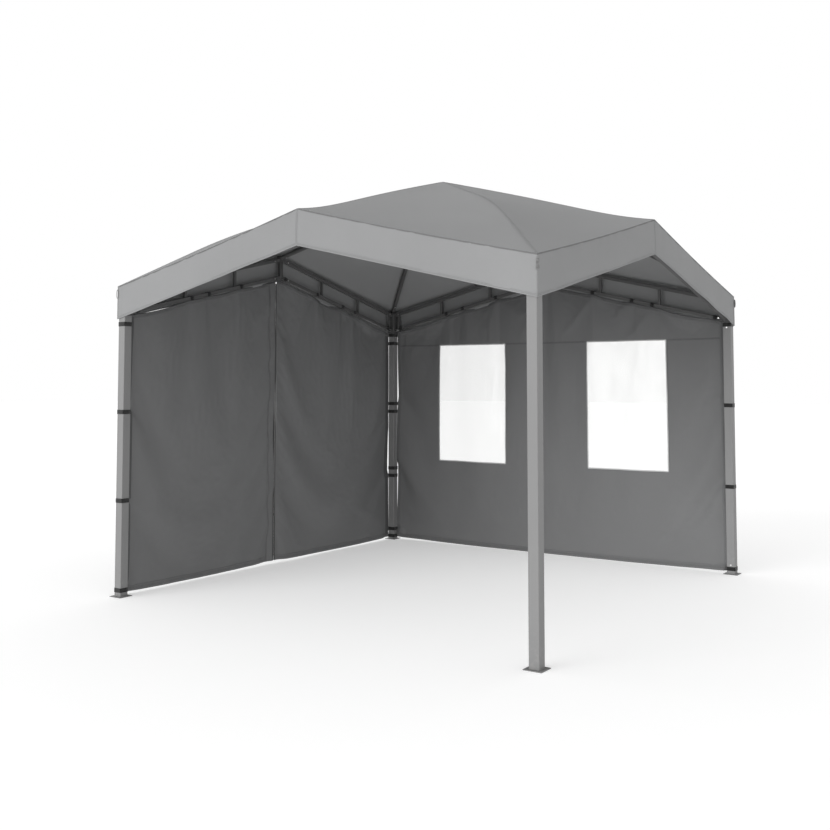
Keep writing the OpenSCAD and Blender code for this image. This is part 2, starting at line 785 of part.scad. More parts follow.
// Webbing rings round the low chord of a front truss
module chord_ties() {
    inner = chord_w + 2 * tie_gap;
    outer_ties = concat(ties_at, [leg_face - tie_end]);
    color([0.06, 0.06, 0.06]) for (m = [0, 1], x = m == 1 ? concat([tie_in], outer_ties) : outer_ties)
        mirror([m, 0, 0]) on_chord(low_chord_z(0), x) translate([0, 0, -strap_w / 2]) difference() {
            linear_extrude(height = strap_w) square(inner + 2 * strap_t, center = true);
            translate([0, 0, -1]) linear_extrude(height = strap_w + 2) square(inner, center = true);
        }
}

foot(0);  // foot_front_right
foot(1);  // foot_back_right
foot(2);  // foot_back_left
foot(3);  // foot_front_left
leg(0);  // leg_front_right
leg(1);  // leg_back_right
leg(2);  // leg_back_left
leg(3);  // leg_front_left
corner_joint(0);  // corner_joint_front_right
corner_joint(1);  // corner_joint_back_right
corner_joint(2);  // corner_joint_back_left
corner_joint(3);  // corner_joint_front_left
gable_joint(0);  // gable_joint_front
gable_joint(1);  // gable_joint_right
gable_joint(2);  // gable_joint_back
gable_joint(3);  // gable_joint_left
half_truss(0, 0);  // truss_front_right_half
half_truss(0, 1);  // truss_front_left_half
half_truss(1, 0);  // truss_right_back_half
half_truss(1, 1);  // truss_right_front_half
half_truss(2, 0);  // truss_back_left_half
half_truss(2, 1);  // truss_back_right_half
half_truss(3, 0);  // truss_left_front_half
half_truss(3, 1);  // truss_left_back_half
hip_rafter(0);  // hip_rafter_front_right
hip_rafter(1);  // hip_rafter_back_right
hip_rafter(2);  // hip_rafter_back_left
hip_rafter(3);  // hip_rafter_front_left
ridge_rafter(0);  // ridge_rafter_front
ridge_rafter(1);  // ridge_rafter_right
ridge_rafter(2);  // ridge_rafter_back
ridge_rafter(3);  // ridge_rafter_left
apex_hub();
foot_screws();
corner_screws();
gable_screws();
apex_screws();
canopy_roof();
canopy_valance();
guy_loops();
window_wall();
window_film(1);  // window_left
window_film(0);  // window_right
on_side(2) chord_ties();  // window_wall_ties
at_corner(2)  // straps_window_wall_left
    leg_straps(window_left_strap_z, window_strap_drop, middle_shift, 180);
at_corner(1)  // straps_window_wall_right
    leg_straps(window_right_strap_z, window_strap_drop, 0, 90);
front_leaf();
back_leaf();
zip_facing();
zip_half(-1, zip_z0);  // zip_half_front
zip_half(1, slider_z + slider_h + 2);  // zip_half_back
zip_slider();
zip_pull();
on_side(3) chord_ties();  // zip_wall_ties
at_corner(3)  // straps_front_leaf
    leg_straps(front_leaf_strap_z, front_leaf_strap_drop, 0, 180);
at_corner(2)  // straps_back_leaf
    leg_straps(back_leaf_strap_z, back_leaf_strap_drop, middle_shift, 90);
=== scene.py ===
"""Looks of a garden pavilion with a zipped wall and a window wall, round its CAD frame. All in metres."""

import math

import bpy
import numpy as np
from mathutils import Matrix, Vector


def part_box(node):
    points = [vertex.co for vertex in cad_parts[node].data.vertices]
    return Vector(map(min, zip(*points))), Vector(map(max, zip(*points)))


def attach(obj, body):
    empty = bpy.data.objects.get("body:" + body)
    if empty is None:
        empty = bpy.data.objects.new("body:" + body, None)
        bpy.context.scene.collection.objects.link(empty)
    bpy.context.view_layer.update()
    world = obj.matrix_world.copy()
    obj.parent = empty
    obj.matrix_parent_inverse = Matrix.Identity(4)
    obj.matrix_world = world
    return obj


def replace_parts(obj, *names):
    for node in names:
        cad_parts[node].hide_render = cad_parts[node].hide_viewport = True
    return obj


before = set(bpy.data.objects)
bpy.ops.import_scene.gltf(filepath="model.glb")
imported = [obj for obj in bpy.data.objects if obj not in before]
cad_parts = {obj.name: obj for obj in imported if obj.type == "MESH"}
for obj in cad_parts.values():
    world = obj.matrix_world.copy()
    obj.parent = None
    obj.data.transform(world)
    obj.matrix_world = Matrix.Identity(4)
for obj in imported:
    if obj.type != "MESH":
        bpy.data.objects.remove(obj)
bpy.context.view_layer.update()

# ---- sizes, from the frame ----

LEG_LO, LEG_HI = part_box("leg_front_right")
LEG_W = LEG_HI.x - LEG_LO.x
LEG_C = (LEG_HI.x + LEG_LO.x) / 2
LEG_FACE = LEG_LO.x
ROOF_LO, ROOF_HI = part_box("canopy_roof")
HALF = ROOF_HI.x
APEX = ROOF_HI.z
VALANCE_LO, VALANCE_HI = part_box("canopy_valance")
CLOTH_T = 0.0015
SEAM_W = 0.014                            # a felled seam's width
HEM_W = 0.022                             # the valance's hem
EAVE = ROOF_LO.z + CLOTH_T
GABLE = VALANCE_HI.z + 0.0018
VALANCE_H = EAVE - VALANCE_LO.z
WALL_LO, WALL_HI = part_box("window_wall")
WALL_HALF = WALL_HI.x
WALL_MID = (WALL_LO.y + WALL_HI.y) / 2
LEAF_LO, LEAF_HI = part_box("front_leaf")
ZIP_WALL_MID = (LEAF_LO.x + LEAF_HI.x) / 2
HEM_Z = WALL_LO.z
WALL_PEAK = WALL_HI.z
FILM_LO, FILM_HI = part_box("window_right")
FILM_OVER = 0.014
ZIP_Y = (LEAF_HI.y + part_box("back_leaf")[0].y) / 2
ZIP_EDGE = ZIP_Y - LEAF_HI.y
FACING_LO, FACING_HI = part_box("zip_facing")

EDGE_SLOPE = (GABLE - EAVE) / HALF
RIDGE_SLOPE = (APEX - GABLE) / HALF
BEND_IN, BEND_RISE, BEND_HALF = 0.56, 0.392, 0.22      # where and how the hips bend
LOW_SLOPE = BEND_RISE / BEND_IN
HIGH_SLOPE = (APEX - EAVE - BEND_RISE) / (HALF - BEND_IN)
CHORD_W = 0.025
STRAP_W, STRAP_T = 0.027, 0.002
TIE_GAP = 0.0005
EDGE_ANGLE = math.atan(EDGE_SLOPE)
TIES = [0.43, 0.75, 0.91, LEG_FACE - 0.06]
TIE_IN = 0.045
LOW_CHORD = WALL_PEAK + (CHORD_W / 2 + TIE_GAP + STRAP_T) / math.cos(EDGE_ANGLE) + 0.0006


def hip_height(a):
    """Height of a hip above the ground, where it is a metres from the middle along both axes."""
    s = HALF - a
    low = EAVE + LOW_SLOPE * s
    bend = low - (LOW_SLOPE - HIGH_SLOPE) * (s - BEND_IN + BEND_HALF) ** 2 / (4 * BEND_HALF)
    high = APEX - HIGH_SLOPE * a
    return np.where(s < BEND_IN - BEND_HALF, low, np.where(s > BEND_IN + BEND_HALF, high, bend))


def roof_height(x, y):
    """Height of the design's roof surface at a place in plan."""
    a = np.maximum(np.abs(x), np.abs(y))
    b = np.minimum(np.abs(x), np.abs(y))
    ridge = APEX - RIDGE_SLOPE * a
    return ridge + (hip_height(a) - ridge) * b / np.maximum(a, 1e-9)


def wall_top(a):
    """Height of a wall's straight upper edge."""
    return WALL_PEAK - EDGE_SLOPE * np.abs(a)


# ---- meshes ----

def link(name, data):
    """A new object in the scene."""
    obj = bpy.data.objects.new(name, data)
    bpy.context.scene.collection.objects.link(obj)
    return obj


def add_mesh(name, points, faces, material, uv=None, sharp=None):
    """A new object from points and faces, shaded smooth, with a UV map named cloth that is in metres."""
    mesh = bpy.data.meshes.new(name)
    mesh.from_pydata([tuple(p) for p in points], [], [tuple(int(i) for i in f) for f in faces])
    mesh.polygons.foreach_set("use_smooth", [True] * len(mesh.polygons))
    if uv is not None:
        layer = mesh.uv_layers.new(name="cloth")
        index = np.zeros(len(mesh.loops), np.int32)
        mesh.loops.foreach_get("vertex_index", index)
        layer.data.foreach_set("uv", np.asarray(uv, np.float32)[index].ravel())
    if sharp is not None:
        mesh.set_sharp_from_angle(angle=math.radians(sharp))
    mesh.materials.append(material)
    return link(name, mesh)


def grid_faces(rows, columns, closed=False, keep=None):
    """Quads of a grid of points stored row by row; keep is a test of a cell's row and column."""
    out = []
    for r in range(rows - 1):
        for c in range(columns if closed else columns - 1):
            d = (c + 1) % columns
            if keep is None or keep(r, c):
                out.append((r * columns + c, r * columns + d, (r + 1) * columns + d, (r + 1) * columns + c))
    return out


def thicken(obj, thickness, offset=0.0):
    solid = obj.modifiers.new("thickness", "SOLIDIFY")
    solid.thickness = thickness
    solid.offset = offset
    solid.use_even_offset = False
    return obj


def steps(marks, step):
    """Values from the first mark to the last that hold every mark and are about a step apart."""
    out = [marks[0]]
    for a, b in zip(marks, marks[1:]):
        n = max(1, round((b - a) / step))
        out += [a + (b - a) * (i + 1) / n for i in range(n)]
    return np.array(out)


def smooth_noise(x, y, seed):
    """Soft noise from about -1 to 1, a sum of a few waves of random direction about a metre long."""
    rng = np.random.default_rng(seed)
    total = np.zeros(np.broadcast(x, y).shape)
    for _ in range(9):
        angle, phase, turns = rng.uniform(0, 2 * math.pi), rng.uniform(0, 2 * math.pi), rng.uniform(0.6, 2.2)
        k = 2 * math.pi * turns
        total += np.sin(k * (x * math.cos(angle) + y * math.sin(angle)) + phase) / 3
    return total


def crease(x, y, start, end, width, height):
    """A soft ridge along a segment, which fades at both ends."""
    p, q = np.array(start), np.array(end)
    d = q - p
    long = np.hypot(*d)
    along = ((x - p[0]) * d[0] + (y - p[1]) * d[1]) / long ** 2
    across = ((x - p[0]) * d[1] - (y - p[1]) * d[0]) / long
    fade = np.clip(along * (1 - along) * 6, 0, 1)
    return height * np.exp(-(across / width) ** 2) * fade


# ---- materials ----

class Nodes:
    """A material's node tree, with a short way to add a node and link it."""

    def __init__(self, name):
        self.material = bpy.data.materials.new(name)
        self.material.use_nodes = True
        self.tree = self.material.node_tree
        self.shader = self.tree.nodes["Principled BSDF"]

    def add(self, kind, inputs=None, **settings):
        node = self.tree.nodes.new(kind)
        for key, value in settings.items():
            setattr(node, key, value)
        for key, value in (inputs or {}).items():
            self.put(node.inputs[key], value)
        return node

    def put(self, socket, value):
        if isinstance(value, bpy.types.NodeSocket):
            self.tree.links.new(value, socket)
        else:
            socket.default_value = value

    def set(self, **inputs):
        for key, value in inputs.items():
            self.put(self.shader.inputs[key.replace("_", " ")], value)

    def math(self, operation, a, b=0.0, c=0.0):
        return self.add("ShaderNodeMath", {0: a, 1: b, 2: c}, operation=operation).outputs[0]

    def mix(self, factor, a, b):
        node = self.add("ShaderNodeMix", data_type="RGBA")
        self.put(node.inputs["Factor"], factor)
        self.put(node.inputs[6], a)
        self.put(node.inputs[7], b)
        return node.outputs[2]

    def noise(self, vector, scale, detail=3.0, low=0.35, high=0.65):
        """Noise stretched to the range from 0 to 1."""
        made = self.add("ShaderNodeTexNoise", {"Vector": vector, "Scale": scale, "Detail": detail})
        return self.spread(made.outputs[0], 0.0, 1.0, low, high)

    def place(self):
        return self.add("ShaderNodeTexCoord").outputs["Object"]

    def cloth_uv(self):
        """The cloth's own coordinates in metres: across and along."""
        uv = self.add("ShaderNodeUVMap", uv_map="cloth").outputs[0]
        split = self.add("ShaderNodeSeparateXYZ", {0: uv})
        return split.outputs[0], split.outputs[1]

    def spread(self, value, low, high, start=0.0, end=1.0):
        """A value's range from start to end, taken to low to high."""
        return self.add("ShaderNodeMapRange", {0: value, 1: start, 2: end, 3: low, 4: high}).outputs[0]

    def waves(self, value, length):
        """A sine of that length."""
        return self.math("SINE", self.math("MULTIPLY", value, 2 * math.pi / length))

    def bump(self, height, distance, strength=1.0, normal=None):
        inputs = {"Height": height, "Distance": distance, "Strength": strength}
        if normal is not None:
            inputs["Normal"] = normal
        return self.add("ShaderNodeBump", inputs).outputs[0]


def grey(value, warm=0.0):
    """A linear grey; warm shifts it a little from blue to red."""
    return (value * (1 + warm), value, value * (1 - warm), 1.0)


COOL = -0.008                             # a faint blue cast of all the cloth
THREAD = 0.0009                           # between the weave's threads
STITCH_ROW, STITCH = 0.003, 0.0042        # from a seam's middle to its stitches, and between stitches


def cloth_material(name, value, warm, seam=False):
    """Coated polyester: a fine weave, a faint crinkle and uneven tone, and on a seam two rows of stitches."""
    n = Nodes(name)
    across, along = n.cloth_uv()
    place = n.place()
    tone = n.noise(place, 1.1, 4.0, 0.3, 0.7)
    fleck = n.noise(place, 260.0, 2.0, 0.2, 0.8)
    colour = n.mix(tone, grey(value * 0.93, warm), grey(value * 1.05, warm))
    colour = n.mix(n.math("MULTIPLY", fleck, 0.25), colour, grey(value * 0.7, warm))
    crinkle = n.noise(place, 7.0, 5.0, 0.2, 0.8)
    normal = n.bump(crinkle, 0.0035, 0.55)
    weave = n.math("MULTIPLY", n.waves(across, 2 * THREAD), n.waves(along, 2 * THREAD))
    if seam:
        row = n.math("ABSOLUTE", n.math("SUBTRACT", n.math("ABSOLUTE", across), STITCH_ROW))
        near = n.math("LESS_THAN", row, 0.0006)
        dash = n.math("LESS_THAN", n.math("FRACT", n.math("MULTIPLY", along, 1 / STITCH)), 0.68)
        stitch = n.math("MULTIPLY", near, dash)
        colour = n.mix(stitch, colour, grey(value * 0.45, warm))
        normal = n.bump(n.math("SUBTRACT", 1.0, near), 0.0006, 0.8, normal)
    normal = n.bump(weave, 0.00018, 0.6, normal)
    n.set(Base_Color=colour, Roughness=n.spread(tone, 0.58, 0.72), Normal=normal)
    n.set(Specular_IOR_Level=0.14, Sheen_Weight=0.03, Sheen_Roughness=0.45)
    return n.material


def webbing_material(name, value):
    """Ribbed polyester webbing: ribs along the strap, with a darker edge to each, which is painted shade in
    the hollows between ribs.
    """
    n = Nodes(name)
    across, along = n.cloth_uv()
    height = n.math("MULTIPLY_ADD", n.waves(across, 0.0014), 0.4, n.waves(along, 0.0022))
    dust = n.noise(n.place(), 45.0, 4.0)
    # painted shade from the rib height, plus random dust tone
    rib_shade_and_dust = n.math("MULTIPLY_ADD", height, 0.25, dust)
    colour = n.mix(rib_shade_and_dust, grey(value * 0.7), grey(value * 1.5))
    n.set(Base_Color=colour, Roughness=0.8, Normal=n.bump(height, 0.0003, 0.7))
    n.set(Sheen_Weight=0.25, Specular_IOR_Level=0.25)
    return n.material


def steel_material(name, value):
    """Powder-coated steel: fine orange peel, a slightly uneven tone and rubbed, dusty lower ends."""
    n = Nodes(name)
    place = n.place()
    tone = n.noise(place, 3.0, 4.0)
    peel = n.noise(place, 900.0, 2.0, 0.2, 0.8)
    height = n.add("ShaderNodeSeparateXYZ", {0: place}).outputs[2]
    low = n.spread(height, 0.0, 1.0, 0.22, 0.0)
    scuff = n.math("MULTIPLY", low, n.noise(place, 38.0, 6.0, 0.5, 0.62))
    colour = n.mix(tone, grey(value * 0.95), grey(value * 1.06))
    colour = n.mix(n.math("MULTIPLY", scuff, 0.35), colour, grey(value * 1.5, 0.04))
    edge = n.add("ShaderNodeNewGeometry").outputs["Pointiness"]
    colour = n.mix(n.spread(edge, 0.0, 0.35, 0.52, 0.6), colour, grey(value * 1.45))
    n.set(Base_Color=colour, Roughness=n.spread(tone, 0.46, 0.6), Normal=n.bump(peel, 0.0002, 0.35))
    n.set(Specular_IOR_Level=0.22)
    return n.material


def bare_metal_material(name, value, rough, brushed=400.0):
    """Plated metal with fine grain, for screws and the zip's slider."""
    n = Nodes(name)
    place = n.place()
    grain = n.noise(place, brushed, 5.0, 0.3, 0.7)
    colour = n.mix(grain, grey(value * 0.8), grey(value * 1.1, 0.01))
    n.set(Base_Color=colour, Roughness=n.spread(grain, rough * 0.8, rough * 1.3), Metallic=1.0)
    n.set(Normal=n.bump(grain, 0.0001, 0.3))
    return n.material


def film_material(name):
    """Clear vinyl: a little milky, with soft slanting wrinkles, painted light and shade along them, and a wet
    gloss.
    """
    n = Nodes(name)
    place = n.place()
    turned = {"Vector": place, "Rotation": (0.0, 0.5, 0.0), "Scale": (2.4, 1.0, 0.6)}
    slanted = n.add("ShaderNodeMapping", turned).outputs[0]
    wrinkled = {"Vector": slanted, "Scale": 4.2, "Detail": 6.0, "Distortion": 0.9}
    folds = n.add("ShaderNodeTexNoise", wrinkled).outputs[0]
    # painted light and shade: the film's colour is lighter and darker along the wrinkles
    wrinkle_shade_and_highlight = n.spread(folds, 0.0, 1.0, 0.42, 0.6)
    colour = n.mix(wrinkle_shade_and_highlight, (0.88, 0.89, 0.87, 1.0), (0.97, 0.98, 0.96, 1.0))
    n.set(Base_Color=colour, Roughness=0.12, Alpha=0.16)
    n.set(Normal=n.bump(folds, 0.02, 0.35), Specular_IOR_Level=0.5)
    return n.material


def tape_material(name, value):
    """Zip tape: a herringbone twill."""
    n = Nodes(name)
    across, along = n.cloth_uv()
    twill = n.waves(n.math("ADD", n.math("PINGPONG", across, 0.0025), along), 0.0012)
    colour = n.mix(n.math("MULTIPLY_ADD", twill, 0.5, 0.5), grey(value * 0.75), grey(value * 1.3))
    n.set(Base_Color=colour, Roughness=0.75, Normal=n.bump(twill, 0.0002, 0.6), Sheen_Weight=0.2)
    return n.material


ROOF_CLOTH = cloth_material("roof_cloth", 0.252, COOL)
ROOF_SEAM = cloth_material("roof_seam", 0.247, COOL, seam=True)
EDGE_SEAM = cloth_material("roof_edge_seam", 0.16, COOL, seam=True)
# Painted shade: the walls are the same grey cloth as the roof, given a darker value for their dim inside.
SHADED_WALL_CLOTH = cloth_material("wall_cloth", 0.168, COOL)
# Painted shade: the walls' seams, hems and bindings are darker still, for doubled cloth that lets less light
# through.
SHADED_WALL_SEAM = cloth_material("wall_seam", 0.148, COOL, seam=True)
# Painted shade: a much darker band at each leaf's outer edge, for the doubled cloth beside the leg and the
# leg's shade on it.
SHADED_EDGE_BAND = cloth_material("wall_edge_band_painted_shade", 0.1, COOL, seam=True)
WINDOW_TRIM = cloth_material("window_trim", 0.55, 0.0, seam=True)
BLACK_WEB = webbing_material("black_webbing", 0.012)
GREY_WEB = webbing_material("grey_webbing", 0.16)
LEG_STEEL = steel_material("powder_coated_legs", 0.18)
# The rest of the frame, all under the roof, is a darker grey than the legs: partly its own colour, partly
# painted shade for the dim inside of the roof.
PARTLY_SHADED_STEEL = steel_material("powder_coated_steel_partly_painted_shade", 0.08)
ZINC = bare_metal_material("zinc_plated_steel", 0.62, 0.32)
GUNMETAL = bare_metal_material("gunmetal", 0.16, 0.38, 700.0)
FILM = film_material("clear_vinyl")
TAPE = tape_material("zip_tape", 0.02)

for node_name, node_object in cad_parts.items():
    if node_name.endswith("_screws"):
        chosen = ZINC
    elif node_name in ("zip_slider", "zip_pull"):
        chosen = GUNMETAL
    elif node_name.startswith(("leg_", "foot_")):
        chosen = LEG_STEEL
    else:
        chosen = PARTLY_SHADED_STEEL
    node_object.data.materials.clear()
    node_object.data.materials.append(chosen)


# ---- canopy: one sheet, the roof and the valance ----

def roof_sag(x, y):
    """How far the cloth hangs below the design surface: between the rafters, and along the roof's edge."""
    a = np.maximum(np.abs(x), np.abs(y))
    b = np.minimum(np.abs(x), np.abs(y))
    share = b / np.maximum(a, 1e-9)
    out = a / HALF
    panel = 0.011 * np.sin(math.pi * share) * np.sin(math.pi * np.clip(out, 0, 1)) ** 0.7
    ridge = 0.017 * (1 - share) ** 2 * np.sin(math.pi * out ** 3)
    edge = 0.009 * np.sin(math.pi * share) * out ** 24
    soft = 0.0025 * smooth_noise(x, y, 5) * np.sin(math.pi * share) * np.sin(math.pi * np.clip(out, 0, 1))
    return panel + ridge + edge + soft


def roof_point(x, y):
    return np.stack([x, y, roof_height(x, y) - roof_sag(x, y)], axis=-1)


def valance_out(along, down, side):
    """How far the valance stands out; along is from -HALF to HALF and down from 0 to 1."""
    free = np.clip((HALF - np.abs(along)) / 0.18, 0, 1)
    wave = smooth_noise(along * 1.3, down * 0.25 + side * 7.0, 11 + side)
    hang = 0.0045 * np.sin(math.pi * np.clip(down, 0, 1) * 0.8) * free
    pucker = 0.0016 * np.sin(along * 41.0 + 3 * wave) * (1 - down) ** 2 * free
    return 0.0042 * wave * down * free + hang + pucker


CELLS = 120
CORNERS = [(-1, -1), (1, -1), (1, 1), (-1, 1)]


def border_points():
    """The roof's edge, counterclockwise from the front left: (x, y, side, place along the side)."""
    out = []
    for side in range(4):
        (x0, y0), (x1, y1) = CORNERS[side], CORNERS[(side + 1) % 4]
        for i in range(CELLS):
            t = i / CELLS
            x, y = x0 + (x1 - x0) * t, y0 + (y1 - y0) * t
            out.append((HALF * x, HALF * y, side, HALF * (2 * t - 1)))
    return out


def side_normal(side):
    return np.array([(0, -1, 0), (1, 0, 0), (0, 1, 0), (-1, 0, 0)][side], float)


def valance_point(x, y, side, along, down):
    """A point of the valance, down from 0 at the roof's edge to 1 at the hem."""
    top = roof_point(np.array(x), np.array(y))
    hem_z = GABLE - EDGE_SLOPE * abs(along) - VALANCE_H
    z = top[2] + (hem_z - top[2]) * down
    p = np.array([x, y, z]) + side_normal(side) * valance_out(np.array(along), np.array(down), side)
    if abs(abs(along) - HALF) < 1e-6:
        p = np.array([x, y, z])
    return p


def build_canopy():
    line = np.linspace(-HALF, HALF, CELLS + 1)
    x, y = np.meshgrid(line, line)
    roof = roof_point(x, y).reshape(-1, 3)
    faces = []
    for r in range(CELLS):
        for c in range(CELLS):
            i = r * (CELLS + 1) + c
            j, k, m = i + 1, i + CELLS + 2, i + CELLS + 1
            if r == c:
                faces += [(i, j, k), (i, k, m)]
            elif r + c == CELLS - 1:
                faces += [(i, j, m), (j, k, m)]
            else:
                faces.append((i, j, k, m))
    uv = np.stack([x, y], axis=-1).reshape(-1, 2)
    border = border_points()
    downs = [0.04, 0.12, 0.25, 0.4, 0.55, 0.7, 0.82, 0.9, 0.95, 1.0]
    points, uvs = [roof], [uv]
    cell = 2 * HALF / CELLS
    grid = [(round((px + HALF) / cell), round((py + HALF) / cell)) for px, py, _, _ in border]
    previous = [r * (CELLS + 1) + c for c, r in grid]
    at = len(roof)
    for down in downs:
        row = np.array([valance_point(px, py, side, along, down) for px, py, side, along in border])
        points.append(row)
        uvs.append(np.array([(along, HALF + down * VALANCE_H) for _, _, _, along in border]))
        current = list(range(at, at + len(border)))
        for k in range(len(border)):
            m = (k + 1) % len(border)
            faces.append((current[k], current[m], previous[m], previous[k]))
        previous, at = current, at + len(border)
    canopy = add_mesh("canopy", np.concatenate(points), faces, ROOF_CLOTH, np.concatenate(uvs), sharp=24)
    return thicken(canopy, CLOTH_T, -1.0)


def strip(name, centres, sides, normals, width, height, material, closed=False, offset=0.0):
    """A raised ribbon of cloth: centres is its line, sides points across it and normals out of it."""
    centres, sides, normals = (np.asarray(v, float) for v in (centres, sides, normals))
    across = [(-0.5, 0.0), (-0.47, 1.0), (-0.25, 1.1), (0.0, 1.0), (0.25, 1.1), (0.47, 1.0), (0.5, 0.0)]
    lengths = np.concatenate([[0], np.cumsum(np.linalg.norm(np.diff(centres, axis=0), axis=1))])
    points, uvs = [], []
    for k, (p, s, n) in enumerate(zip(centres, sides, normals)):
        for u, h in across:
            points.append(p + s * u * width + n * (offset + h * height))
            uvs.append((u * width, lengths[k]))
    faces = []
    m = len(across)
    count = len(centres)
    for k in range(count if closed else count - 1):
        nxt = (k + 1) % count
        for j in range(m - 1):
            faces.append((k * m + j, k * m + j + 1, nxt * m + j + 1, nxt * m + j))
        faces.append((k * m + m - 1, k * m, nxt * m, nxt * m + m - 1))
    if not closed:
        faces += [tuple(range(m)), tuple(range((count - 1) * m, count * m))[::-1]]
    return add_mesh(name, points, faces, material, uvs, sharp=50)


def unit(v):
    return v / np.maximum(np.linalg.norm(v, axis=-1, keepdims=True), 1e-12)


def roof_normal(x, y, toward):
    """The roof's normal at a place, read on the side that toward points to."""
    e = 0.004
    px, py = x + toward[0] * e * 2, y + toward[1] * e * 2
    dx = (roof_point(px + e, py)[..., 2] - roof_point(px - e, py)[..., 2]) / (2 * e)
    dy = (roof_point(px, py + e)[..., 2] - roof_point(px, py - e)[..., 2]) / (2 * e)
    return unit(np.stack([-dx, -dy, np.ones_like(dx)], axis=-1))


def build_roof_seams():
    """Felled seams along the hips and ridges, the seam along the roof's edge, the valance's seams and hem."""
    made = []
    run = np.linspace(0.03, HALF - 0.004, 90)
    for name, dx, dy in [
        ("hip_seam_front_right", 1, -1), ("hip_seam_back_right", 1, 1),
        ("hip_seam_back_left", -1, 1), ("hip_seam_front_left", -1, -1),
    ]:
        x, y = run * dx, run * dy
        side = np.array([dy, -dx, 0]) / math.sqrt(2)
        n = unit(roof_normal(x, y, (side[0], side[1])) + roof_normal(x, y, (-side[0], -side[1])))
        made.append(strip(name, roof_point(x, y), [side] * len(run), n, SEAM_W, 0.0006, ROOF_SEAM,
                          offset=-0.0004))
    for name, dx, dy in [
        ("ridge_seam_front", 0, -1), ("ridge_seam_right", 1, 0),
        ("ridge_seam_back", 0, 1), ("ridge_seam_left", -1, 0),
    ]:
        x, y = run * dx, run * dy
        side = np.array([dy, -dx, 0], float)
        n = np.tile([0.0, 0.0, 1.0], (len(run), 1))
        made.append(strip(name, roof_point(x, y), [side] * len(run), n, SEAM_W, 0.0008, ROOF_SEAM,
                          offset=-0.0006))
    border = border_points()
    edge = [roof_point(np.array(px), np.array(py)) for px, py, _, _ in border]
    outs = [side_normal(side) for _, _, side, _ in border]
    for k in range(0, len(border), CELLS):
        outs[k] = unit(outs[k] + outs[k - 1]) * math.sqrt(2)
    edge = [p - np.array([0, 0, 0.0035]) for p in edge]
    down = [np.array([0, 0, 1.0])] * len(border)
    made.append(strip("roof_edge_seam", edge, down, outs, 0.007, 0.0011, EDGE_SEAM, closed=True))
    lift = np.array([0, 0, HEM_W / 2])
    hem = [valance_point(px, py, side, along, 1.0) + lift for px, py, side, along in border]
    made.append(strip("valance_hem", hem, down, outs, HEM_W, 0.0008, ROOF_SEAM, closed=True))
    for side, name in enumerate(("front", "right", "back", "left")):
        n = side_normal(side)
        x, y = n[0] * HALF, n[1] * HALF
        along = np.cross([0, 0, 1], n)
        line = [valance_point(x, y, side, 0.0, d) for d in np.linspace(0.015, 0.985, 12)]
        made.append(strip(f"valance_seam_{name}", line, [along] * 12, [n] * 12, SEAM_W, 0.0008, ROOF_SEAM))
    for k, name in enumerate(("front_left", "front_right", "back_right", "back_left")):
        cx, cy = CORNERS[k]
        out = unit(np.array([cx, cy, 0.0]))
        across = np.array([-cy, cx, 0.0]) / math.sqrt(2)
        z = np.linspace(EAVE - 0.012, EAVE - VALANCE_H + 0.002, 12)
        line = [np.array([cx * HALF, cy * HALF, h]) for h in z]
        made.append(strip(f"corner_seam_{name}", line, [across] * 12, [out] * 12, 0.005, 0.0016, ROOF_SEAM,
                          offset=-0.0008))
    return made


canopy = build_canopy()
roof_seams = build_roof_seams()


# ---- webbing: straps, ties and loops ----

def rounded_loop(half_u, half_v, radius, per_corner=6, per_side=4):
    """Points of a rectangle with round corners, and its outward normals, in its own plane."""
    points, normals = [], []
    corners = [(1, 1), (-1, 1), (-1, -1), (1, -1)]

    def at(corner, quarters):
        su, sv = corners[corner % 4]
        n = (math.cos(math.pi / 2 * quarters), math.sin(math.pi / 2 * quarters))
        return (su * (half_u - radius) + radius * n[0], sv * (half_v - radius) + radius * n[1]), n

    for k in range(4):
        for i in range(per_corner + 1):
            p, n = at(k, k + i / per_corner)
            points.append(p)
            normals.append(n)
        start = points[-1]
        end, n = at(k + 1, k + 1)
        for i in range(1, per_side):
            f = i / per_side
            points.append((start[0] + (end[0] - start[0]) * f, start[1] + (end[1] - start[1]) * f))
            normals.append(n)
    return np.array(points), np.array(normals)


WEB_SECTION = [(-0.5, 0.25), (-0.46, 0.5), (-0.2, 0.56), (0.2, 0.56), (0.46, 0.5), (0.5, 0.25),
               (0.5, -0.25), (0.46, -0.5), (-0.46, -0.5), (-0.5, -0.25)]


def webbing(points, uvs, faces, path, normals, wide, closed, width=STRAP_W, thickness=STRAP_T):
    """Adds a webbing band along a path to the lists; wide points across the band."""
    start, m, count = len(points), len(WEB_SECTION), len(path)
    along = 0.0
    for k in range(count):
        if k:
            along += float(np.linalg.norm(path[k] - path[k - 1]))
        for u, h in WEB_SECTION:
            points.append(path[k] + wide * u * width + normals[k] * h * thickness)
            uvs.append((u * width, along))
    for k in range(count if closed else count - 1):
        n = (k + 1) % count
        for j in range(m):
            i = (j + 1) % m
            faces.append((start + k * m + j, start + k * m + i, start + n * m + i, start + n * m + j))
    if not closed:
        faces.append(tuple(start + j for j in range(m))[::-1])
        faces.append(tuple(start + (count - 1) * m + j for j in range(m)))


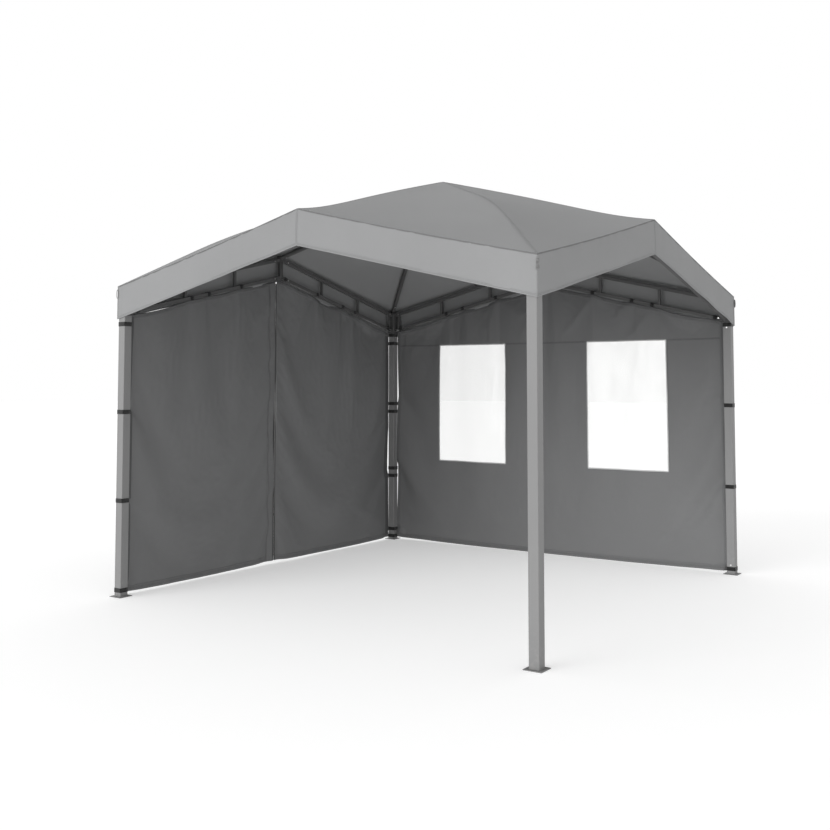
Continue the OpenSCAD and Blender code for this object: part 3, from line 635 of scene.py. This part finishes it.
def leg_straps(name, node, corner, tab):
    """Straps round a leg at the CAD straps' heights, each with a doubled end and a tab towards its wall."""
    points, uvs, faces = [], [], []
    centre = np.array([corner[0] * LEG_C, corner[1] * LEG_C, 0.0])
    inner = LEG_W / 2 + 0.0003
    mid = inner + STRAP_T / 2
    loop, normal = rounded_loop(mid, mid, 0.005)
    outer, outer_normal = rounded_loop(mid + STRAP_T, mid + STRAP_T, 0.006)
    up = np.array([0, 0, 1.0])
    for low, high in solid_spans(node, 2, 0.004):
        z = (low + high) / 2
        ring = np.array([(*p, z) for p in loop]) + centre
        ring_normal = np.array([(*n, 0) for n in normal])
        webbing(points, uvs, faces, ring, ring_normal, up, True)
        away = np.array(corner)
        facing = outer_normal @ (away - np.abs(tab) * away)
        side = [i for i in range(len(outer)) if facing[i] > 0.99]
        flap = np.array([(*outer[i], z) for i in side]) + centre
        flap_normal = np.array([(*outer_normal[i], 0) for i in side])
        flap[0] -= flap_normal[0] * 0.0009
        flap[-1] -= flap_normal[-1] * 0.0009
        webbing(points, uvs, faces, flap, flap_normal, up, False, width=STRAP_W * 0.92, thickness=0.0019)
        direction = np.array([tab[0], tab[1], 0.0])
        sideways = np.cross(up, direction)
        outward = np.array([corner[0] * abs(tab[1]), corner[1] * abs(tab[0]), 0.0]) * (WALL_MID - LEG_C)
        start = centre + direction * (mid + 0.0005) + up * z + outward
        run = np.array([start, start + direction * 0.0027])
        webbing(points, uvs, faces, run, [sideways] * 2, up, False, thickness=0.0015)
    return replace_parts(add_mesh(name, points, faces, BLACK_WEB, uvs, sharp=40), node)


def solid_spans(node, axis, gap):
    """Lowest and highest value along an axis of each group of a node's vertices."""
    values = np.sort([v.co[axis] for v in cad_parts[node].data.vertices])
    cuts = np.where(np.diff(values) > 0.1)[0]
    bounds = np.concatenate([[0], cuts + 1, [len(values)]])
    return [(values[a], values[b - 1]) for a, b in zip(bounds, bounds[1:]) if values[b - 1] - values[a] > gap]


def tie_places():
    """Distances along a wall of its ties; the one near the middle is on the plus side."""
    return sorted([-t for t in TIES] + [TIE_IN] + TIES)


def wall_axes(side):
    """A wall's direction and its inward normal; side 0 is the window wall and 1 the zip wall."""
    along = np.array([1.0, 0, 0]) if side == 0 else np.array([0, 1.0, 0])
    inward = np.array([0, -1.0, 0]) if side == 0 else np.array([1.0, 0, 0])
    return along, inward


def wall_base(side):
    """A point on a wall's plane, at its middle and on the ground."""
    return np.array([0, WALL_MID, 0.0]) if side == 0 else np.array([ZIP_WALL_MID, 0, 0.0])


def truss_base(side):
    """A point on the ground under the middle of the truss that carries a wall."""
    return np.array([0, LEG_C, 0.0]) if side == 0 else np.array([-LEG_C, 0, 0.0])


def chord_ties(name, node, side):
    """Webbing loops round a truss's lower chord, one at each eyelet, with a knotted tail on the inside."""
    points, uvs, faces = [], [], []
    along, inward = wall_axes(side)
    up = np.array([0, 0, 1.0])
    mid = CHORD_W / 2 + TIE_GAP + STRAP_T / 2
    loop, normal = rounded_loop(mid, mid, 0.0015, per_corner=2)
    for place in tie_places():
        tilt = -math.copysign(EDGE_SLOPE, place)
        direction = unit(along + up * tilt)
        upright = unit(np.cross(inward, direction))
        if upright[2] < 0:
            upright = -upright
        centre = truss_base(side) + along * place + up * (LOW_CHORD - EDGE_SLOPE * abs(place))
        ring = np.array([centre + inward * p[0] + upright * p[1] for p in loop])
        ring_normal = np.array([inward * n[0] + upright * n[1] for n in normal])
        webbing(points, uvs, faces, ring, ring_normal, direction, True)
        knot = np.array([
            centre + inward * (mid + 0.002 + 0.0055 * math.sin(math.pi * t)) + upright * (0.013 - 0.028 * t)
            for t in np.linspace(0, 1, 7)])
        webbing(points, uvs, faces, knot, [inward] * 7, direction, False, width=0.022, thickness=0.003)
    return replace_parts(add_mesh(name, points, faces, BLACK_WEB, uvs, sharp=40), node)


def guy_loops():
    points, uvs, faces = [], [], []
    up = np.array([0, 0, 1.0])
    for cx, cy in CORNERS:
        out = unit(np.array([cx, cy, 0.0]))
        across = np.cross(up, out)
        base = np.array([cx * HALF, cy * HALF, EAVE - 0.05]) + out * 0.001
        path, normals = [], []
        for t in np.linspace(-1, 1, 17):
            a = t * math.pi / 2
            path.append(base + up * 0.027 * math.sin(a) + out * 0.0062 * math.cos(a) ** 0.7)
            normals.append(unit(out * math.cos(a) * 4 + up * math.sin(a)))
        webbing(points, uvs, faces, np.array(path), normals, across, False, width=0.018, thickness=0.0016)
    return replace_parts(add_mesh("guy_rope_loops", points, faces, GREY_WEB, uvs, sharp=40), "guy_loops")


straps = [
    leg_straps("front_leaf_straps", "straps_front_leaf", (-1, -1), (0, 1)),
    leg_straps("back_leaf_straps", "straps_back_leaf", (-1, 1), (0, -1)),
    leg_straps("window_wall_straps_left", "straps_window_wall_left", (-1, 1), (1, 0)),
    leg_straps("window_wall_straps_right", "straps_window_wall_right", (1, 1), (-1, 0)),
]
ties = [
    chord_ties("window_wall_tie_loops", "window_wall_ties", 0),
    chord_ties("zip_wall_tie_loops", "zip_wall_ties", 1),
]
loops = guy_loops()


# ---- walls: hung by cloth simulation, then meshed finely ----

def scallop(a, side):
    """How far a wall's upper edge hangs below the straight line: between ties, and at a leaf's corner."""
    marks = np.array([-WALL_HALF] + tie_places() + [WALL_HALF])
    k = np.clip(np.searchsorted(marks, a) - 1, 0, len(marks) - 2)
    span = marks[k + 1] - marks[k]
    t = (a - marks[k]) / span
    slant = LEAF_DROP * np.clip(1 - (WALL_HALF - np.abs(a)) / LEAF_SLANT, 0, 1) if side == 1 else 0.0
    return np.minimum(0.03 * span, 0.009) * 4 * t * (1 - t) + slant


def hung_top(a, side):
    return wall_top(a) - scallop(a, side)


class Hang:
    """How a hung wall departs from its plane: offsets along, up and inward, at any place of the wall."""

    def __init__(self, a0, a1, pins, creases, seed, side):
        self.a0, self.a1, self.creases, self.seed, self.side = a0, a1, creases, seed, side
        self.columns = max(8, round((a1 - a0) / 0.03))
        self.rows = 70
        a = np.linspace(a0, a1, self.columns + 1)
        v = np.linspace(0, 1, self.rows + 1)
        self.a, self.v = np.meshgrid(a, v)
        self.offset = np.zeros(self.a.shape + (3,))
        z = self.height(self.a, self.v)
        start = 0.004 * smooth_noise(self.a * 1.4, z * 1.1, seed)
        self.offset = self.settle(z, start, pins)

    def height(self, a, v):
        return HEM_Z + v * (hung_top(a, self.side) - HEM_Z)

    def world(self, a, z, inward):
        along, normal = wall_axes(self.side)
        base = wall_base(self.side)
        a, z, inward = (np.asarray(t, float)[..., None] for t in (a, z, inward))
        return base + along * a + np.array([0, 0, 1.0]) * z + normal * inward

    def settle(self, z, start, pins):
        """Hangs the wall from its pins for a second and returns how far each grid point moved."""
        rest = self.world(self.a, z, start)
        obj = add_mesh("settling", rest.reshape(-1, 3), grid_faces(*self.a.shape), SHADED_WALL_CLOTH)
        group = obj.vertex_groups.new(name="pins")
        group.add([int(i) for i in np.flatnonzero(pins(self.a, z).ravel())], 1.0, "ADD")
        cloth = obj.modifiers.new("cloth", "CLOTH")
        for key, value in CLOTH_SETTINGS.items():
            setattr(cloth.settings, key, value)
        cloth.collision_settings.use_collision = False
        cloth.point_cache.frame_end = SIM_FRAMES
        for f in range(1, SIM_FRAMES + 1):
            bpy.context.scene.frame_set(f)
        settled = obj.evaluated_get(bpy.context.evaluated_depsgraph_get()).data
        co = np.zeros(len(settled.vertices) * 3, np.float32)
        settled.vertices.foreach_get("co", co)
        moved = co.reshape(rest.shape).astype(float) - self.world(self.a, z, np.zeros_like(z))
        bpy.data.objects.remove(obj)
        bpy.context.scene.frame_set(1)
        along, normal = wall_axes(self.side)
        offset = np.stack([moved @ along, moved[..., 2], moved @ normal], axis=-1)
        offset[..., 2] = 0.03 * np.tanh(offset[..., 2] / 0.03)
        return offset

    def sample(self, a, z):
        """The simulated offsets at any places, by Catmull-Rom curves through the grid."""
        v = (z - HEM_Z) / (hung_top(a, self.side) - HEM_Z)
        fa = np.clip((a - self.a0) / (self.a1 - self.a0), 0, 1) * self.columns
        fv = np.clip(v, 0, 1) * self.rows
        out = np.zeros(np.shape(a) + (3,))
        ia, iv = np.floor(fa).astype(int), np.floor(fv).astype(int)
        wa, wv = spline_weights(fa - ia), spline_weights(fv - iv)
        for i in range(4):
            for j in range(4):
                c = np.clip(ia + i - 1, 0, self.columns)
                r = np.clip(iv + j - 1, 0, self.rows)
                out += self.offset[r, c] * (wa[i] * wv[j])[..., None]
        return out

    def place(self, a, z, lift=0.0):
        """World points of the hung wall; lift moves them off the cloth, inward."""
        off = self.sample(a, z)
        fine = 0.0012 * smooth_noise(a * 3.1, z * 2.3, self.seed + 1)
        for start, end, width, height in self.creases:
            fine = fine + crease(a, z, start, end, width, height)
        quiet = np.clip((np.minimum(a - self.a0, self.a1 - a)) / 0.06, 0, 1)
        inward = off[..., 2] + fine * quiet
        if self.side == 1:
            most = BULGE + BULGE_SLOPE * (WALL_HALF - np.abs(a))
            inward = (inward + most - np.sqrt((inward - most) ** 2 + BULGE_SOFT ** 2)) / 2
        return self.world(a + off[..., 0], z + off[..., 1], inward + lift)


def spline_weights(t):
    return [
        (-t + 2 * t ** 2 - t ** 3) / 2, (2 - 5 * t ** 2 + 3 * t ** 3) / 2,
        (t + 4 * t ** 2 - 3 * t ** 3) / 2, (-t ** 2 + t ** 3) / 2,
    ]


SIM_FRAMES = 36
CLOTH_SETTINGS = {
    "quality": 5, "mass": 0.08, "tension_stiffness": 30, "compression_stiffness": 30, "shear_stiffness": 12,
    "bending_stiffness": 0.6, "air_damping": 3, "shrink_min": -0.006, "vertex_group_mass": "pins",
}
# The most that a leaf bulges in, so that it swings past its leg: at its strap edge, and per metre away.
BULGE, BULGE_SLOPE, BULGE_SOFT = -0.0015, 0.08, 0.002
LEAF_DROP, LEAF_SLANT = 0.012, 0.4        # a leaf's outer upper corner is cut down, to clear the truss


def near(values, targets, reach):
    return np.min(np.abs(values[..., None] - np.array(targets)), axis=-1) <= reach


def strap_heights(node):
    return [(low + high) / 2 for low, high in solid_spans(node, 2, 0.004)]


def pin_test(side, a_lines, strap_sides):
    """A test of which grid points hold still: at ties, at straps, and all along some vertical lines."""
    def test(a, z):
        at_top = hung_top(a, side) - z < 0.002
        held = at_top & near(a, tie_places(), 0.017)
        for a_edge, heights in strap_sides:
            held |= (np.abs(a - a_edge) < 0.002) & near(z, heights, 0.02)
        for line in a_lines:
            held |= np.abs(a - line) < 0.002
        return held
    return test


def level_rows(a, nominal, split, side):
    """Heights of the mesh's rows: level up to the split, then fanned out to the hung top."""
    top = hung_top(a, side)
    fan = split + (nominal - split) * (top - split) / (WALL_PEAK - split)
    return np.where(nominal <= split, nominal, fan)


def hung_mesh(name, hang, columns, rows, split, material=SHADED_WALL_CLOTH, thickness=CLOTH_T, keep=None, lift=0.0):
    """A fine mesh of part of a hung wall."""
    a, nominal = np.meshgrid(columns, rows)
    z = level_rows(a, nominal, split, hang.side)
    points = hang.place(a, z, lift).reshape(-1, 3)
    uv = np.stack([a, z], axis=-1).reshape(-1, 2)
    faces = grid_faces(*a.shape, keep=keep)
    used = sorted({i for f in faces for i in f})
    new = {old: i for i, old in enumerate(used)}
    obj = add_mesh(name, points[used], [[new[i] for i in f] for f in faces], material, uv[used])
    return thicken(obj, thickness)


LEVEL_SPLIT = 1.7                         # where the window wall's rows stop being level
ALL_LEVEL = 5.0                           # a split above every row
FILM_T = 0.0006
EDGE_HEM = 0.035
LEAF_EDGE = 0.052
BOTTOM_HEM = 0.038
SEAM_Z = FILM_HI.z - FILM_OVER
WINDOW_X = (FILM_LO.x + FILM_OVER, FILM_HI.x - FILM_OVER)
WINDOW_Z = (FILM_LO.z + FILM_OVER, FILM_HI.z - FILM_OVER)
FACE_LIFT = CLOTH_T / 2 + 0.0002


def hung_strip(name, hang, line, sideways, width, height=0.001, material=SHADED_WALL_SEAM, lift=FACE_LIFT):
    """A ribbon sewn to a hung wall along a line of (a, z) places; sideways is across it, in (a, z)."""
    line = np.asarray(line, float)
    a, z = line[:, 0], line[:, 1]
    centres = hang.place(a, z)
    e = 0.004
    da, dz = sideways[0] * e, sideways[1] * e
    across = unit(hang.place(a + da, z + dz) - hang.place(a - da, z - dz))
    _, normal = wall_axes(hang.side)
    normals = unit(normal - across * (across @ normal)[:, None])
    return strip(name, centres, across, normals, width, height, material, offset=lift)


def build_window_wall():
    made = []
    hang = Hang(
        -WALL_HALF, WALL_HALF,
        pin_test(0, [], [(-WALL_HALF, strap_heights("straps_window_wall_left")),
                         (WALL_HALF, strap_heights("straps_window_wall_right"))]),
        [((-1.38, 1.55), (-0.75, 2.0), 0.035, 0.006), ((0.15, 1.7), (0.42, 2.02), 0.03, 0.007),
         ((0.62, 1.6), (0.9, 1.88), 0.03, 0.006), ((-0.3, 0.1), (-0.9, 0.65), 0.04, 0.005),
         ((1.4, 0.35), (0.95, 0.62), 0.035, 0.006), ((-0.25, 1.62), (-0.05, 2.05), 0.03, 0.005),
         ((-1.4, 0.3), (-1.1, 0.1), 0.03, 0.006), ((0.2, 0.15), (0.33, 0.68), 0.03, -0.004)],
        21, 0)
    marks = [-WALL_HALF, -WINDOW_X[1], -WINDOW_X[0], 0, WINDOW_X[0], WINDOW_X[1], WALL_HALF]
    columns = steps(marks, 0.016)
    rows = steps([HEM_Z, WINDOW_Z[0], WINDOW_Z[1], LEVEL_SPLIT, WALL_PEAK], 0.016)

    def is_cloth(r, c):
        a, z = (columns[c] + columns[c + 1]) / 2, (rows[r] + rows[r + 1]) / 2
        return not (WINDOW_X[0] < abs(a) < WINDOW_X[1] and WINDOW_Z[0] < z < WINDOW_Z[1])

    wall = hung_mesh("window_wall_cloth", hang, columns, rows, LEVEL_SPLIT, keep=is_cloth)
    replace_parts(wall, "window_wall")
    films = []
    rows_of_film = steps([WINDOW_Z[0] - FILM_OVER, WINDOW_Z[1] + FILM_OVER], 0.016)
    for name, sign in (("left", -1), ("right", 1)):
        edges = sorted([sign * (WINDOW_X[0] - FILM_OVER), sign * (WINDOW_X[1] + FILM_OVER)])
        film = hung_mesh(
            f"window_film_{name}", hang, steps(edges, 0.016), rows_of_film,
            ALL_LEVEL, FILM, FILM_T, lift=-FACE_LIFT - FILM_T)
        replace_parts(film, f"window_{name}")
        films.append(film)
        inner, outer = sign * WINDOW_X[0], sign * WINDOW_X[1]
        for part, line, sideways in [
            ("lower", [(a, WINDOW_Z[0]) for a in steps([inner, outer], sign * 0.03)], (0, 1)),
            ("upper", [(a, WINDOW_Z[1]) for a in steps([inner, outer], sign * 0.03)], (0, 1)),
            ("inner", [(inner, z) for z in steps(WINDOW_Z, 0.03)], (1, 0)),
            ("outer", [(outer, z) for z in steps(WINDOW_Z, 0.03)], (1, 0)),
        ]:
            made.append(hung_strip(
                f"window_trim_{name}_{part}", hang, line, sideways, 0.009, 0.0008, WINDOW_TRIM))
    seam = [(a, SEAM_Z) for a in steps([-WALL_HALF + 0.004, WALL_HALF - 0.004], 0.02)]
    seams = ([p for p in seam if p[0] < -WINDOW_X[1]], [p for p in seam if abs(p[0]) < WINDOW_X[0]],
             [p for p in seam if p[0] > WINDOW_X[1]])
    for k, part in enumerate(seams):
        made.append(hung_strip(f"window_wall_seam_{k + 1}", hang, part, (0, 1), SEAM_W, 0.0009))
    low = [(a, HEM_Z + BOTTOM_HEM / 2) for a in steps([-WALL_HALF, WALL_HALF], 0.02)]
    made.append(hung_strip("window_wall_hem", hang, low, (0, 1), BOTTOM_HEM))
    for name, edge in (("left", -1), ("right", 1)):
        a = edge * (WALL_HALF - EDGE_HEM / 2)
        line = [(a, z) for z in steps([HEM_Z + 0.002, float(hung_top(a, 0)) - 0.006], 0.02)]
        made.append(hung_strip(f"window_wall_edge_{name}", hang, line, (1, 0), EDGE_HEM))
    made.append(top_binding("window_wall_binding", hang, -WALL_HALF, WALL_HALF))
    return wall, films, made


def top_binding(name, hang, a0, a1):
    """The doubled, stitched band along a wall's upper edge."""
    band = 0.03
    a = steps([a0 + 0.001, a1 - 0.001], 0.016)
    line = [(x, float(hung_top(np.array(x), hang.side)) - band / 2 - 0.001) for x in a]
    return hung_strip(name, hang, line, (0, 1), band)


def build_leaf(name, node, a0, a1, strap_node, creases, seed, zip_line):
    """One leaf of the zip wall, with its hem, edge band and binding."""
    outer = a0 if zip_line == a1 else a1
    hang = Hang(a0, a1, pin_test(1, [zip_line], [(outer, strap_heights(strap_node))]), creases, seed, 1)
    marks = sorted({a0, a1, *([0.0] if a0 < 0 < a1 else [])})
    columns = steps(marks, 0.014)
    rows = steps([HEM_Z, WALL_PEAK], 0.014)
    leaf = hung_mesh(name, hang, columns, rows, HEM_Z)
    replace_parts(leaf, node)
    made = []
    low = [(a, HEM_Z + BOTTOM_HEM / 2) for a in steps([a0, a1], 0.02)]
    made.append(hung_strip(f"{name}_hem", hang, low, (0, 1), BOTTOM_HEM))
    a = outer + math.copysign(LEAF_EDGE / 2, (a0 + a1) / 2 - outer)
    line = [(a, z) for z in steps([HEM_Z + 0.002, float(hung_top(np.array(a), 1)) - 0.006], 0.02)]
    # The edge band's dark colour is painted shade beside the leg.
    made.append(hung_strip(f"{name}_edge", hang, line, (1, 0), LEAF_EDGE, material=SHADED_EDGE_BAND))
    made.append(top_binding(f"{name}_binding", hang, a0, a1))
    return leaf, hang, made


window_wall, films, window_trims = build_window_wall()
front_leaf, front_hang, front_trims = build_leaf(
    "front_leaf_cloth", "front_leaf", -WALL_HALF, ZIP_Y - ZIP_EDGE, "straps_front_leaf",
    [((-1.38, 0.1), (-0.75, 0.75), 0.04, 0.007), ((-1.4, 0.35), (-0.9, 1.0), 0.04, 0.005),
     ((-0.5, 0.35), (-0.12, 0.62), 0.025, 0.005), ((-0.45, 0.55), (-0.1, 0.85), 0.025, 0.004),
     ((-0.9, 1.3), (-0.35, 1.95), 0.04, 0.005), ((-1.38, 1.5), (-1.1, 0.9), 0.04, -0.005)],
    31, ZIP_Y - ZIP_EDGE)
back_leaf, _, back_trims = build_leaf(
    "back_leaf_cloth", "back_leaf", ZIP_Y + ZIP_EDGE, WALL_HALF, "straps_back_leaf",
    [((0.02, 0.5), (0.3, 0.8), 0.025, 0.005), ((0.02, 0.72), (0.25, 0.98), 0.025, 0.004),
     ((0.4, 0.1), (1.1, 0.6), 0.045, 0.006), ((0.7, 1.2), (1.35, 1.6), 0.04, 0.005),
     ((0.1, 1.4), (0.35, 2.0), 0.035, 0.004), ((1.38, 0.15), (0.9, 0.35), 0.035, 0.006)],
    41, ZIP_Y + ZIP_EDGE)


def build_facing():
    """The doubled strip of cloth beside the zip, inside the front leaf."""
    a0, a1 = FACING_LO.y, FACING_HI.y
    rows = steps([HEM_Z + 0.002, FACING_HI.z], 0.014)
    lift = (FACING_LO.x + FACING_HI.x) / 2 - ZIP_WALL_MID
    a, nominal = np.meshgrid(steps([a0, a1], 0.012), rows)
    top = wall_top(a) - 0.01
    z = HEM_Z + 0.002 + (nominal - rows[0]) / (rows[-1] - rows[0]) * (top - HEM_Z - 0.002)
    points = front_hang.place(a, z, lift).reshape(-1, 3)
    uv = np.stack([a, z], axis=-1).reshape(-1, 2)
    facing = add_mesh("zip_facing_cloth", points, grid_faces(*a.shape), SHADED_WALL_CLOTH, uv)
    thicken(facing, CLOTH_T)
    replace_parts(facing, "zip_facing")
    rows_of_stitches = []
    for k, at in enumerate((a0 + 0.006, a1 - 0.006)):
        line = [(at, h) for h in steps([HEM_Z + 0.004, float(wall_top(at)) - 0.012], 0.02)]
        rows_of_stitches.append(hung_strip(
            f"zip_facing_seam_{k + 1}", front_hang, line, (1, 0), 0.01, 0.0007, SHADED_WALL_SEAM,
            lift + CLOTH_T / 2))
    return facing, rows_of_stitches


def build_zip(name, node, side):
    """One half of the zip: its tape, and a row of teeth that lock with the other half's."""
    lo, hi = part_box(node)
    inner = ZIP_Y + side * 0.0005
    outer = lo.y if side < 0 else hi.y
    x = (lo.x + hi.x) / 2
    z = np.linspace(HEM_Z + 0.004, hi.z, 160)
    line = [np.array([x, (inner + outer) / 2, h]) for h in z]
    tape = strip(f"{name}_tape", line, [(0, 1, 0)] * len(z), [(1, 0, 0)] * len(z),
                 abs(outer - inner) - 0.001, 0.001, TAPE, offset=-0.0005)
    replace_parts(tape, node)
    pitch = 0.0032
    points, faces, uvs = [], [], []
    for k in range(int((hi.z - lo.z) / pitch)):
        h = lo.z + pitch * (k + (0.25 if side < 0 else 0.75))
        start = len(points)
        for dy, half_z, half_x in ((0.0, 0.0007, 0.0011), (0.0012, 0.0005, 0.0015), (0.0024, 0.0006, 0.0013)):
            for sx, sz in ((-1, -1), (1, -1), (1, 1), (-1, 1)):
                points.append((x + sx * half_x, inner + side * dy, h + sz * half_z))
                uvs.append((dy, h))
        for ring in (0, 4):
            for j in range(4):
                i = (j + 1) % 4
                faces.append((start + ring + j, start + ring + i, start + ring + 4 + i, start + ring + 4 + j))
        faces += [(start, start + 3, start + 2, start + 1), (start + 8, start + 9, start + 10, start + 11)]
    teeth = add_mesh(f"{name}_teeth", points, faces, GUNMETAL, uvs, sharp=30)
    return tape, teeth


zip_facing, facing_seams = build_facing()
front_tape, front_teeth = build_zip("zip_front", "zip_half_front", -1)
back_tape, back_teeth = build_zip("zip_back", "zip_half_back", 1)


# ---- who moves with what ----

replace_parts(canopy, "canopy_roof", "canopy_valance")
for piece in [canopy, loops, window_wall, *roof_seams, *films, *window_trims, *straps, *ties]:
    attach(piece, "frame")
for piece in [front_leaf, zip_facing, front_tape, front_teeth, *front_trims, *facing_seams]:
    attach(piece, "front_leaf")
for piece in [back_leaf, back_tape, back_teeth, *back_trims]:
    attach(piece, "back_leaf")

# ---- floor, light and camera ----

floor_mesh = bpy.data.meshes.new("floor")
FLOOR_HALF = 60.0
floor_mesh.from_pydata([(-FLOOR_HALF, -FLOOR_HALF, 0), (FLOOR_HALF, -FLOOR_HALF, 0),
                        (FLOOR_HALF, FLOOR_HALF, 0), (-FLOOR_HALF, FLOOR_HALF, 0)], [], [(0, 1, 2, 3)])
floor = link("floor", floor_mesh)
floor_nodes = Nodes("pale_floor")
floor_nodes.set(Base_Color=(0.75, 0.75, 0.75, 1.0), Roughness=0.9, Specular_IOR_Level=0.1)
floor_nodes.set(Emission_Color=(1.0, 1.0, 1.0, 1.0), Emission_Strength=0.38)
floor_mesh.materials.append(floor_nodes.material)

world = bpy.data.worlds.new("studio")
world.use_nodes = True
sky = world.node_tree
direction = sky.nodes.new("ShaderNodeTexCoord")
split_direction = sky.nodes.new("ShaderNodeSeparateXYZ")
dimmed = sky.nodes.new("ShaderNodeMapRange")        # dimmer from 30 degrees up, so the roof isn't overlit
for socket, value in ((1, 0.5), (2, 1.0), (3, 1.0), (4, 0.5)):
    dimmed.inputs[socket].default_value = value
sky.nodes["Background"].inputs[0].default_value = (1.0, 1.0, 1.0, 1.0)
sky.links.new(direction.outputs["Generated"], split_direction.inputs[0])
sky.links.new(split_direction.outputs[2], dimmed.inputs[0])
sky.links.new(dimmed.outputs[0], sky.nodes["Background"].inputs[1])
bpy.context.scene.world = world

key_light = bpy.data.lights.new("key", "SUN")
key_light.energy = 2.9
key_light.angle = math.radians(50)
lamp = link("key", key_light)
lamp.rotation_mode = "QUATERNION"
lamp.rotation_quaternion = Vector((-0.35, -1.0, 0.08)).to_track_quat("Z", "Y")

CAMERA_AT = (3.788, -5.865, 1.344)
AZIMUTH, ELEVATION = math.radians(34.42), math.radians(-3.28)
camera_data = bpy.data.cameras.new("camera")
camera_data.lens = 44.77
camera_data.shift_y = -0.11
camera_data.clip_end = 300
camera = link("camera", camera_data)
level = math.cos(ELEVATION)
back = Vector((math.sin(AZIMUTH) * level, -math.cos(AZIMUTH) * level, math.sin(ELEVATION)))
right = Vector((math.cos(AZIMUTH), math.sin(AZIMUTH), 0))
up = back.cross(right)
camera.matrix_world = Matrix((
    (right.x, up.x, back.x, CAMERA_AT[0]), (right.y, up.y, back.y, CAMERA_AT[1]),
    (right.z, up.z, back.z, CAMERA_AT[2]), (0, 0, 0, 1)))
bpy.context.scene.camera = camera
bpy.context.scene.view_settings.view_transform = "Standard"
